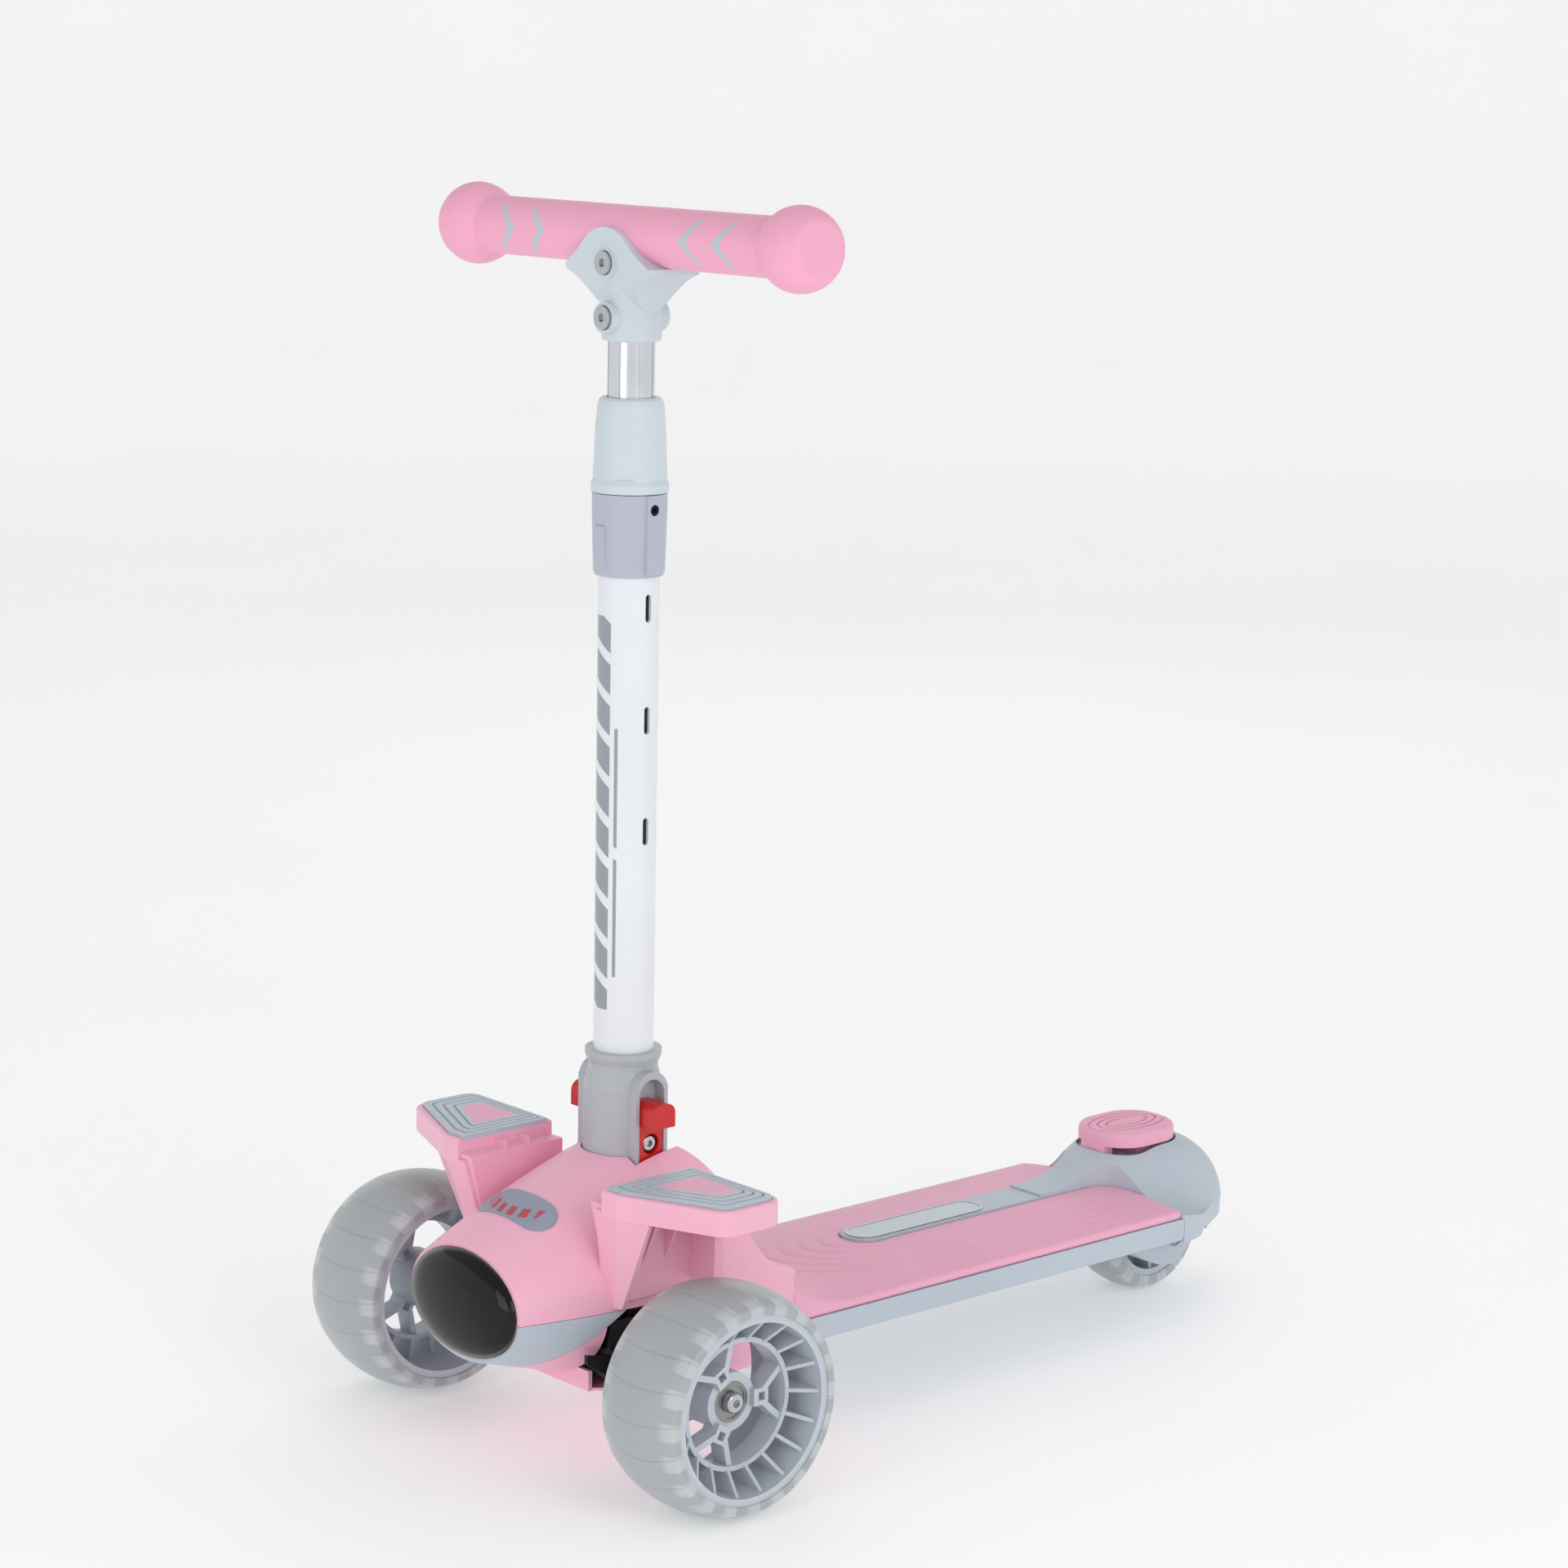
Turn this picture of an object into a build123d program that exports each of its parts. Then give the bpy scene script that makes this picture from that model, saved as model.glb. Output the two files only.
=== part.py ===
"""Folding three-wheeled kick scooter: two lean-steered front wheels, one rear wheel with a foot brake.

Lengths are millimetres and +Z is up. The rider faces -Y. Shapes are drawn from the front axle line,
and every part is moved to the row origin, the middle of the footprint on the floor, when it is written.
"""

import os
from math import cos, radians, sin

from build123d import *

# ---- overall sizes ----
wheel_radius = 60.0          # front wheels, to the crown of the tyre
wheel_width = 56.0
wheel_track = 250.0          # between the middles of the two front tyres
rear_radius = 40.0
rear_width = 32.0
rear_axle_y = 440.0          # behind the front axle
nose_reach = 77.5            # lamp lens ahead of the front axle
tail_reach = 495.0           # fender end behind the front axle
bar_height = 635.8           # middle of the handlebar above the floor, lowest setting
bar_half_length = 127.4      # to the middle of each ball
stem_y = 38.3                # steering stem behind the front axle
deck_half_width = 65.0

# ---- clearances ----
running = 0.05               # radial, shaft in its bore
gap = 0.4                    # between bodies that pass each other
rest_gap = 0.3               # between parts of one body that only lie near each other

# ---- wheels ----
rim_radius = 49.5
rim_wall = 4.0
tyre_edge_radius = 54.0
tyre_round = 2.0
hub_radius = 15.5
hub_length = 24.0
hub_recess = 18.0            # hub face behind the rim face
ring_recess = 13.0           # front of the middle ring behind the rim face
bearing_radius = 11.0
bearing_width = 7.0
axle_radius = 4.0
ring_radius = 33.5           # the middle ring of the spokes
ring_wall = 2.6
fin_count = 18
fin_thickness = 2.0
spoke_count = 3
spoke_thickness = 3.2
key_count = 20
key_height = 2.0
key_half_angle = 5.5
rear_rim_radius = 31.0
rear_edge_radius = 37.0
bolt_head_radius = 5.6
bolt_head_height = 4.0

# ---- lean steering ----
lean_z = 85.0                # lean pivot above the floor
lean_bolt_radius = 5.0
lean_bush_wall = 3.0
kingpin_x = 82.0
kingpin_radius = 4.0
barrel_radius = 9.0
barrel_half_height = 14.0
arm_thickness = 6.7
tie_arm = 25.0               # tie rod behind the kingpins
tie_thickness = 6.0
tie_pin_radius = 3.0
tie_slack = 0.5              # the tie rod's holes are this much wider all round
beam_depth = 24.0
beam_height = 16.0
yoke_thickness = 6.0
yoke_roof_z = 104.0

# ---- head shell ----
split_z = 90.0
shell_wall = 3.0
badge_thickness = 0.8
wing_bottom_z = 145.0        # underside of the foot platforms
wing_top_z = 158.0
tray_wall = 2.5
tray_z = 42.0
head_rear_y = 104.0
chin_y = -16.0
lamp_half_width = 43.5
lamp_half_height = 28.5
lamp_z = 91.6
lamp_y = -66.0
lens_bulge = 11.5
lens_wall = 2.0
channel_half_width = 25.3
channel_floor_z = 115.0
channel_wall = 3.0

# ---- fold joint ----
fold_z = 140.0
fold_pin_radius = 4.0
socket_radius = 21.1
socket_bottom_z = 150.0
pad_x = 24.0
pad_half_width = 10.8
lug_radius = 19.6
lug_half_width = 11.7
lock_z = 163.0
lock_radius = 3.0
lock_travel = 9.0
window_half_width = 8.4
window_floor_x = 16.5
window_top_z = 198.0
release_top_z = 186.6
release_cap_z = 173.6
release_x = 34.0

# ---- stem ----
tube_radius = 16.0
tube_wall = 1.8
tube_bottom_z = 178.0
tube_top_z = 536.0
inner_radius = 12.2
inner_wall = 1.4
slot_width = 3.7
slot_length = 14.5
slot_low_z = 329.3
slot_pitch = 58.5
slot_count = 4
collar_bottom_z = 462.5
collar_top_z = 505.0
sleeve_bottom_z = 505.5
sleeve_top_z = 554.0
sleeve_travel = 8.0
bush_length = 36.0

# ---- handlebar ----
grip_radius = 15.3
ball_radius = 21.6
ball_flat_radius = 15.6
bar_core_radius = 11.0
bar_core_wall = 1.5
neck_radius = 15.4
neck_bottom_z = 582.5
saddle_radius = 18.8
bracket_bolt_radius = 2.5
bracket_bolts_z = (594.8, 622.5)
chevron_depth = 0.8

# ---- deck ----
deck_bottom_z = 47.0
deck_seam_z = 61.0
mat_edge_z = 66.0
mat_crown_z = 74.0
mat_rear_y = 412.0            # rear corners of the mat
deck_wall = 3.0
rib_count = 5
spine_half_width = 12.5
spine_top_z = 74.6
ridge_count = 6
ridge_step = 7.0
ridge_width = 2.2
ridge_depth = 1.0
badge_y = 255.0
badge_length = 100.0
spine_front_y = 202.5        # rounded front tip of the grey centre strip
badge_width = 21.5

# ---- rear fender and brake ----
fender_front_y = 345.0
fender_half_width = 33.0
cheek_bottom_z = 21.0
slot_half_width = 18.5
wheel_gap = 4.0
pedal_front_y = 400.0
pedal_rear_y = 458.0
pedal_half_width = 23.5
pedal_top_z = 103.0
pedal_bottom_z = 94.0
pedal_floor_z = 87.5
pedal_gap = 1.3
axle_seat_x = 31.5           # flat seat of the axle's head and nut
brake_pin_y = 404.0
brake_pin_z = 83.5
brake_pin_radius = 2.0
shoe_z = 83.5

# The row origin is the middle of the whole length, on the floor.
origin_y = (tail_reach - nose_reach) / 2


# ---- small shape helpers ----
def block(x0, x1, y0, y1, z0, z1):
    """A box between two corners."""
    size = (abs(x1 - x0), abs(y1 - y0), abs(z1 - z0))
    return Pos((x0 + x1) / 2, (y0 + y1) / 2, (z0 + z1) / 2) * Box(*size)


def rod_x(radius, x0, x1, y, z):
    """A round bar along X."""
    return Pos((x0 + x1) / 2, y, z) * Rot(0, 90, 0) * Cylinder(radius, abs(x1 - x0))


def rod_y(radius, x, y0, y1, z):
    """A round bar along Y."""
    return Pos(x, (y0 + y1) / 2, z) * Rot(90, 0, 0) * Cylinder(radius, abs(y1 - y0))


def rod_z(radius, x, y, z0, z1):
    """A round bar along Z."""
    return Pos(x, y, (z0 + z1) / 2) * Cylinder(radius, abs(z1 - z0))


def slab_z(points, z0, z1):
    """A polygon of (x, y) points between two heights."""
    face = make_face(Polyline(*points, close=True))
    return Pos(0, 0, z0) * extrude(face, amount=z1 - z0, dir=(0, 0, 1))


def slab_x(points, x0, x1):
    """A polygon of (y, z) points between two X values."""
    corners = [(0, y, z) for y, z in points]
    face = make_face(Polyline(*corners, close=True))
    return Pos(x0, 0, 0) * extrude(face, amount=x1 - x0, dir=(1, 0, 0))


def slab_y(points, y0, y1):
    """A polygon of (x, z) points between two Y values."""
    corners = [(x, 0, z) for x, z in points]
    face = make_face(Polyline(*corners, close=True))
    return Pos(0, y0, 0) * extrude(face, amount=y1 - y0, dir=(0, 1, 0))


def turned_z(points, x, y):
    """A profile of (radius, z) points turned about a vertical line."""
    corners = [(r, 0, z) for r, z in points]
    face = make_face(Polyline(*corners, close=True))
    return Pos(x, y, 0) * revolve(face, axis=Axis.Z)


def both_sides(shape):
    """The shape and its mirror image across the middle."""
    return [shape, mirror(shape, about=Plane.YZ)]


def group(shapes):
    """Separate solids kept together as one part."""
    solids = []
    for shape in shapes:
        solids.extend(shape.solids())
    return Compound(children=solids)


# ---- wheels, drawn about the origin with the outer face towards +X ----
def tyre(radius, edge_radius, bore, width, keys):
    """Crowned tyre, cast over the keys of its rim."""
    half = width / 2
    crown = ThreePointArc((-half, edge_radius), (0, radius), (half, edge_radius))
    sides = Polyline((half, edge_radius), (half, bore), (-half, bore), (-half, edge_radius))
    ring = revolve(make_face([crown, sides]), axis=Axis.X)
    rims = ring.edges().filter_by(GeomType.CIRCLE).sort_by(SortBy.RADIUS)
    outer = [e for e in rims if abs(e.radius - edge_radius) < 0.01]
    ring = fillet(outer, tyre_round)
    return ring - keys if keys is not None else ring


def rim_keys(bore, half_width):
    """Low blocks around the rim that lock the tyre on."""
    ring = rod_x(bore + key_height, -half_width, half_width, 0, 0)
    ring = ring - rod_x(bore - 0.5, -half_width, half_width, 0, 0)
    reach = bore + 10
    side = reach * sin(radians(key_half_angle))
    wedge = slab_x([(0, 0), (reach, -side), (reach, side)], -half_width, half_width)
    keys = []
    for k in range(key_count):
        keys.append(ring & (Rot(k * 360 / key_count, 0, 0) * wedge))
    return keys


def front_keys():
    """The keys of a front rim."""
    return rim_keys(rim_radius, wheel_width / 2 - 8)


def front_core():
    """Rim drum, sunk hub and middle ring, V spokes and thin fins that slope up to the rim."""
    half = wheel_width / 2 - 1
    face_x = half
    hub_x1 = face_x - hub_recess
    hub_x0 = hub_x1 - hub_length
    ring_x1 = face_x - ring_recess
    ring_x0 = ring_x1 - 14
    drum = rod_x(rim_radius, -half, half, 0, 0) - rod_x(rim_radius - rim_wall, -half, half, 0, 0)
    hub = rod_x(hub_radius, hub_x0, hub_x1, 0, 0)
    ring = rod_x(ring_radius + ring_wall / 2, ring_x0, ring_x1, 0, 0)
    ring = ring - rod_x(ring_radius - ring_wall / 2, ring_x0, ring_x1, 0, 0)
    core = drum + hub + ring
    inner = ring_radius
    outer = rim_radius - rim_wall / 2
    fin = slab_z([(ring_x0, inner), (ring_x1, inner), (face_x - 1, outer), (ring_x0, outer)],
                 -fin_thickness / 2, fin_thickness / 2)
    for k in range(fin_count):
        core = core + Rot(k * 360 / fin_count, 0, 0) * fin
    for k in range(spoke_count):
        core = core + Rot(k * 360 / spoke_count + 30, 0, 0) * spoke_pair(ring_x1)
    for x0 in (hub_x0, hub_x1 - bearing_width):
        core = core - rod_x(bearing_radius, x0, x0 + bearing_width, 0, 0)
    core = core - rod_x(bearing_radius - 2, hub_x0, hub_x1, 0, 0)
    for key in front_keys():
        core = core + key
    return core


def spoke_pair(face_x):
    """One square socket on the hub with two spokes that spread to the middle ring."""
    boss = block(face_x - 12, face_x - 1.5, -4.6, 4.6, hub_radius - 3, hub_radius + 6.5)
    boss = boss - rod_x(bearing_radius + 1, face_x - 13, face_x, 0, 0)
    pair = boss
    for side in (-1, 1):
        leg = block(face_x - 12, face_x - 1.5, -spoke_thickness / 2, spoke_thickness / 2, 0, 24)
        pair = pair + Pos(0, 3 * side, hub_radius + 3) * Rot(-side * 42, 0, 0) * leg
    pair = pair - block(face_x - 13, face_x, -2.2, 2.2, hub_radius + 0.2, hub_radius + 4.4)
    rounds = rod_x(ring_radius, face_x - 13, face_x, 0, 0)
    return pair & rounds


def rear_core():
    """Solid-looking rear wheel core with a thin web and ribs."""
    half = rear_width / 2 - 1
    core = rod_x(rear_rim_radius, -half, half, 0, 0)
    core = core - rod_x(rear_rim_radius - rim_wall, -half, half, 0, 0)
    core = core + rod_x(rear_rim_radius - 1, -1.5, 1.5, 0, 0)
    core = core + rod_x(hub_radius, -half, half, 0, 0)
    for k in range(6):
        rib = block(-half + 2, half - 2, -1.2, 1.2, hub_radius - 2, rear_rim_radius - 2)
        core = core + Rot(k * 60, 0, 0) * rib
    for x0 in (-half, half - bearing_width):
        core = core - rod_x(bearing_radius, x0, x0 + bearing_width, 0, 0)
    return core - rod_x(bearing_radius - 2, -half, half, 0, 0)


def bearing(x0):
    """Ball bearing as two races and a shield, closed into one ring."""
    ring = rod_x(bearing_radius, x0, x0 + bearing_width, 0, 0)
    ring = ring - rod_x(axle_radius + running, x0, x0 + bearing_width, 0, 0)
    for x in (x0, x0 + bearing_width - 0.5):
        groove = rod_x(bearing_radius - 2, x, x + 0.5, 0, 0) - rod_x(axle_radius + 2, x, x + 0.5, 0, 0)
        ring = ring - groove
    return ring


def front_bearings():
    """The two bearings of a front hub."""
    hub_x1 = wheel_width / 2 - 1 - hub_recess
    return [bearing(hub_x1 - hub_length), bearing(hub_x1 - bearing_width)]


def rear_bearings():
    """The two bearings of the rear hub."""
    half = rear_width / 2 - 1
    return [bearing(-half), bearing(half - bearing_width)]


def button_head(x0, direction):
    """Low round bolt head with a six-sided key hole, standing along X."""
    x1 = x0 + direction * bolt_head_height
    head = rod_x(bolt_head_radius, x0, x1, 0, 0)
    head = fillet(head.edges().filter_by(GeomType.CIRCLE).sort_by(Axis.X)[-1 if direction > 0 else 0], 1.8)
    key = extrude(Plane(origin=(x1 - direction * 2.2, 0, 0), z_dir=(direction, 0, 0)) * RegularPolygon(2.4, 6), 3)
    return head - key


def wheel_bolt():
    """Front wheel bolt, drawn about the middle of its wheel."""
    hub_x1 = wheel_width / 2 - 1 - hub_recess
    plate_x = kingpin_x + 10 - wheel_track / 2
    shaft = rod_x(axle_radius, plate_x, hub_x1 + rest_gap, 0, 0)
    nut = extrude(Plane(origin=(plate_x, 0, 0), z_dir=(1, 0, 0)) * RegularPolygon(7, 6), 6)
    return shaft + nut + button_head(hub_x1 + rest_gap, 1)


def at_wheel(shape):
    """Place a wheel part drawn about the origin at the +X front wheel."""
    return Pos(wheel_track / 2, 0, wheel_radius) * shape


def at_rear(shape):
    """Place a wheel part drawn about the origin at the rear wheel."""
    return Pos(0, rear_axle_y, rear_radius) * shape


def rear_axle():
    """Rear axle bolt through both fender cheeks, with a button head and a nut."""
    side = axle_seat_x
    shaft = rod_x(axle_radius, -side, side, 0, 0)
    nut = extrude(Plane(origin=(-side - 5, 0, 0), z_dir=(1, 0, 0)) * RegularPolygon(6.5, 6), 5)
    return at_rear(shaft + nut + button_head(side, 1))


# ---- lean steering ----
def axle_beam():
    """Black beam that carries both kingpin barrels and hangs from the lean bolt."""
    half_y = beam_depth / 2
    low = wheel_radius - beam_height / 2
    top = wheel_radius + beam_height / 2
    beam = block(-kingpin_x + 8, kingpin_x - 8, -half_y + 4, half_y - 4, low, top)
    beam = beam + block(-60, 60, -half_y, half_y, low, top)
    web = [(-34, top - 1), (34, top - 1), (11, lean_z), (-11, lean_z)]
    beam = beam + slab_y(web, -half_y, half_y)
    beam = beam + rod_y(lean_bolt_radius + lean_bush_wall + 3.5, 0, -half_y, half_y, lean_z)
    for side in (-1, 1):
        z0 = wheel_radius - barrel_half_height
        z1 = wheel_radius + barrel_half_height
        beam = beam + rod_z(barrel_radius, side * kingpin_x, 0, z0, z1)
        beam = beam + block(side * 68, side * kingpin_x, -6, 6, low, top)
        beam = beam - rod_z(kingpin_radius + running, side * kingpin_x, 0, z0, z1)
        pocket = block(side * 22, side * 54, -half_y, -half_y + 6, low + 3, top - 3)
        beam = beam - pocket - block(side * 22, side * 54, half_y - 6, half_y, low + 3, top - 3)
    for side in (-1, 1):
        shield = block(side * 50, side * 52.5, chin_y + 4, 36, low, 83)
        apron = [(chin_y + 6, low), (chin_y + 6, 64), (-27, 68), (-27, 63)]
        shield = shield + slab_x(apron, min(side * 50, side * 52.5), max(side * 50, side * 52.5))
        beam = beam + (shield - block(40 * side, 60 * side, tie_arm - 6.5, tie_arm + 6.5, 54, 66))
    return beam - rod_y(lean_bolt_radius + lean_bush_wall, 0, -half_y, half_y, lean_z)


def lean_bush():
    """Rubber bush pressed into the beam around the lean bolt."""
    half_y = beam_depth / 2
    bush = rod_y(lean_bolt_radius + lean_bush_wall, 0, -half_y, half_y, lean_z)
    return bush - rod_y(lean_bolt_radius + running, 0, -half_y, half_y, lean_z)


def lean_yoke():
    """Steel yoke under the shell that holds the lean bolt and the pin that pushes the tie rod."""
    inner = beam_depth / 2 + 0.5
    outer = inner + yoke_thickness
    yoke = block(-34, 34, -outer, outer, yoke_roof_z, yoke_roof_z + 4)
    for side in (-1, 1):
        plate = [(-20, yoke_roof_z + 1), (20, yoke_roof_z + 1), (12, lean_z - 14), (-12, lean_z - 14)]
        y0 = min(side * inner, side * outer)
        yoke = yoke + slab_y(plate, y0, y0 + yoke_thickness)
    tongue_z = lean_z - 16
    yoke = yoke + block(-6, 6, outer - yoke_thickness, tie_arm + 4, tongue_z, tongue_z + 6)
    yoke = yoke + rod_z(tie_pin_radius, 0, tie_arm, wheel_radius - tie_thickness / 2 - 2, tongue_z + 1)
    return yoke - rod_y(lean_bolt_radius, 0, -outer, outer, lean_z)


def lean_bolt():
    """Bolt the beam leans on."""
    outer = beam_depth / 2 + 0.5 + yoke_thickness
    bolt = rod_y(lean_bolt_radius, 0, -outer - 0.5, outer + 0.5, lean_z)
    bolt = bolt + rod_y(8, 0, -outer - 5, -outer, lean_z)
    nut = extrude(Plane(origin=(0, outer, lean_z), z_dir=(0, 1, 0)) * RegularPolygon(8, 6), 5)
    return bolt + nut


def knuckle():
    """Light-grey knuckle of the +X wheel: two kingpin arms, wheel spindle boss and steering arm."""
    z0 = wheel_radius - barrel_half_height - rest_gap - arm_thickness
    z1 = wheel_radius + barrel_half_height + rest_gap + arm_thickness
    plate_x = kingpin_x + 10
    body = block(plate_x, plate_x + 6, -13, 13, z0, z1)
    for low in (z0, z1 - arm_thickness):
        arm = rod_z(10, kingpin_x, 0, low, low + arm_thickness)
        body = body + arm + block(kingpin_x, plate_x + 1, -10, 10, low, low + arm_thickness)
    spindle_end = wheel_track / 2 + wheel_width / 2 - 1 - hub_recess - hub_length - rest_gap
    body = body + rod_x(9, plate_x + 6, spindle_end - 2, 0, wheel_radius)
    body = body + rod_x(6, plate_x + 6, spindle_end, 0, wheel_radius)
    tie_z0 = wheel_radius - tie_thickness / 2
    lug = rod_z(6.5, kingpin_x, tie_arm, tie_z0 - rest_gap - 5.5, tie_z0 - rest_gap)
    lug = lug + block(plate_x - 2, plate_x + 6, 9, tie_arm + 6.5, tie_z0 - rest_gap - 5.5, tie_z0 - rest_gap)
    lug = lug + block(kingpin_x, plate_x, tie_arm - 6.5, tie_arm + 6.5, tie_z0 - rest_gap - 5.5, tie_z0 - rest_gap)
    body = body + lug
    body = body + rod_z(tie_pin_radius, kingpin_x, tie_arm, tie_z0 - rest_gap - 1, tie_z0 + tie_thickness + 2)
    nut = extrude(Plane(origin=(plate_x, 0, wheel_radius), z_dir=(1, 0, 0)) * RegularPolygon(7, 6), 6)
    body = body - nut - rod_x(axle_radius, plate_x, spindle_end, 0, wheel_radius)
    return body - rod_z(kingpin_radius, kingpin_x, 0, z0, z1)


def kingpin():
    """Pin of the +X knuckle, held by its arms and running in the beam's barrel."""
    z0 = wheel_radius - barrel_half_height - rest_gap - arm_thickness
    z1 = wheel_radius + barrel_half_height + rest_gap + arm_thickness
    pin = rod_z(kingpin_radius, kingpin_x, 0, z0 - 1, z1)
    return pin + rod_z(6.5, kingpin_x, 0, z1, z1 + 3)


def tie_rod():
    """Flat bar that joins both steering arms, with a middle hole for the yoke's pin."""
    z0 = wheel_radius - tie_thickness / 2
    z1 = z0 + tie_thickness
    rod = block(-kingpin_x, kingpin_x, tie_arm - 4.5, tie_arm + 4.5, z0, z1)
    rod = rod + rod_z(7.3, 0, tie_arm, z0, z1)
    for side in (-1, 1):
        rod = rod + rod_z(7, side * kingpin_x, tie_arm, z0, z1)
        rod = rod - rod_z(tie_pin_radius + tie_slack, side * kingpin_x, tie_arm, z0, z1)
    return rod - rod_z(tie_pin_radius + 2 * tie_slack, 0, tie_arm, z0, z1)


# ---- head ----
def egg(inset):
    """The rounded body of the head; a positive inset makes it smaller all round."""
    stations = [(-66.0, 46.0, 32.6, 29.4), (-34.0, 53.0, 48.0, 39.0), (0.0, 58.0, 61.5, 46.0),
                (38.0, 62.0, 73.0, 48.0), (70.0, 65.0, 76.0, 48.0), (108.0, 66.0, 70.0, 48.0)]
    faces = []
    for y, half_width, rise, drop in stations:
        plane = Plane(origin=(0, y, split_z), x_dir=(1, 0, 0), z_dir=(0, -1, 0))
        upper = EllipticalCenterArc((0, 0), half_width - inset, rise - inset, 0, arc_size=180)
        lower = EllipticalCenterArc((0, 0), half_width - inset, drop - inset, 180, arc_size=180)
        faces.append(plane * make_face([upper, lower]))
    return loft(faces)


def behind_profile(inset):
    """Everything behind and above the head's sloping back."""
    points = [(52, 161), (60, 155), (66, 144.5), (69, 135.5), (72, 125), (80, 107), (head_rear_y, 92)]
    curve = Spline(*[(0, y - inset, z - inset) for y, z in points])
    start = (0, points[0][0] - inset, points[0][1] - inset)
    end = (0, points[-1][0] - inset, points[-1][1] - inset)
    rest = Polyline(end, (0, 130, end[2]), (0, 130, 190), (0, start[1] - 6, 190), start)
    face = make_face([curve, rest])
    return Pos(-80, 0, 0) * extrude(face, amount=160, dir=(1, 0, 0))


def wing_outline(grow):
    """Plan of a foot platform: straight back edge, slanted front edge."""
    return [(60, -22 - grow), (72, -22 - grow), (127 + grow, 1 - grow), (127 + grow, 35.5 + grow), (60, 35.5 + grow)]


def wing():
    """Foot platform of the +X side with its slanted leg, side wall, rear post and the thin ribs under it."""
    top = slab_z(wing_outline(3), wing_bottom_z, wing_top_z)
    corners = top.edges().filter_by(Axis.Z).sort_by(Axis.X)[-2:]
    top = fillet(corners, 10)
    top = fillet(top.faces().sort_by(Axis.Z)[-1].edges(), 1.5)
    top = top - slab_z(wing_outline(-1), wing_bottom_z - 1, wing_top_z - 3.5)
    seat = slab_z(wing_outline(rest_gap), wing_top_z - 1.5, wing_top_z + 1)
    top = top - fillet(seat.edges().filter_by(Axis.Z).sort_by(Axis.X)[-2:], 7)
    high = wing_bottom_z + 2
    upper = [(55, -25), (72, -25), (90, -17.4), (88, -13), (71, -20), (55, -20)]
    lower = [(48, -13), (57, -13), (61, -11.4), (60.5, -7.5), (56, -9), (48, -9)]
    leg = loft([Pos(0, 0, high) * make_face(Polyline(*upper, close=True)),
                Pos(0, 0, split_z + 2) * make_face(Polyline(*lower, close=True))])
    leg = leg + block(55, 83, 32, 38, 102, high)
    for y in (0, 15):
        leg = leg + slab_y([(52, 154), (81, 154), (63, 114), (52, 114)], y, y + 2.2)
    wall = slab_x([(-24, 150), (38, 150), (38, 97), (-11, 97)], 50, 63.5)
    return top + leg + wall


def head_shell():
    """Pink upper shell with both foot platforms and the slot the stem folds into."""
    solid = (egg(0) - behind_profile(0)) & block(-90, 90, -66, head_rear_y, split_z, 200)
    for part in both_sides(wing()):
        solid = solid + part
    inside = (egg(shell_wall) - behind_profile(shell_wall)) & block(-90, 90, -67, head_rear_y - shell_wall, 0, 200)
    trough = block(-channel_half_width - channel_wall, channel_half_width + channel_wall,
                   stem_y - socket_radius - 4, head_rear_y, channel_floor_z - channel_wall, 200)
    skin = solid - (inside - trough)
    well = rod_z(socket_radius + 0.9, 0, stem_y, channel_floor_z, 200)
    well = well + block(-channel_half_width, channel_half_width, stem_y - 12, 140, channel_floor_z, 200)
    well = well + rod_x(lug_radius + 0.8, -lug_half_width - 0.8, lug_half_width + 0.8, stem_y, fold_z)
    skin = skin - well
    return skin - block(-lug_half_width - 1, lug_half_width + 1, stem_y - 6.5, stem_y + 18, 100, 120)


def chin_line(y):
    """Height of the slanted seam between the grey chin and the pink tray."""
    return 58.0 + (y + 50.0) * 0.71


def nose_chin():
    """Grey underside of the nose, below the lamp and above a slanted seam."""
    skin = egg(0) - egg(shell_wall)
    top = split_z - rest_gap
    end_y = -50.0 + (top - 58.0) / 0.71
    return skin & slab_x([(lamp_y, top), (lamp_y, chin_line(lamp_y)), (end_y, top)], -90, 90)


def lower_housing():
    """Pink tray under the head, open at the sides for the axle beam and at the back for the deck."""
    outline = [(-62, 12), (-40, chin_y), (40, chin_y), (62, 12), (64, 40), (deck_half_width, 70), (deck_half_width, head_rear_y),
               (-deck_half_width, head_rear_y), (-deck_half_width, 70), (-64, 40)]
    inner = [(-59.5, 13), (-38.8, chin_y + 3), (38.8, chin_y + 3), (59.5, 13), (61.5, 40), (62.5, 70), (62.5, head_rear_y - 2.5),
             (-62.5, head_rear_y - 2.5), (-62.5, 70), (-61.5, 40)]
    top = split_z - rest_gap
    tray = slab_z(outline, tray_z, top)
    tray = chamfer(tray.faces().sort_by(Axis.Z)[0].edges(), 4.0)
    front = slab_y([(-40, tray_z), (40, tray_z), (40, top), (-40, top)], chin_y, chin_y + 3)
    tray = tray - slab_z(inner, tray_z + tray_wall, top)
    tray = tray - block(-90, 90, chin_y - 1, 38, tray_z + tray_wall, top)
    tray = tray + (front & block(-90, 90, chin_y, chin_y + 2.5, tray_z + 1, chin_line(chin_y) - rest_gap))
    tray = tray - block(-46, 46, chin_y - 1, chin_y + 4, 54, top)
    beak = (egg(0) - egg(shell_wall)) & slab_x([(lamp_y, 20), (chin_y, 20), (chin_y, chin_line(chin_y) - rest_gap),
                                                (lamp_y, chin_line(lamp_y) - rest_gap)], -90, 90)
    tray = tray + beak
    return tray - block(-90, 90, head_rear_y - 3, head_rear_y + 1, tray_z - 1, deck_seam_z + 1)


def lamp_oval(half_width, half_height, y0, y1):
    """Oval plate facing the front."""
    plane = Plane(origin=(0, y1, lamp_z), x_dir=(1, 0, 0), z_dir=(0, -1, 0))
    return extrude(plane * Ellipse(half_width, half_height), y1 - y0)


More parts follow.
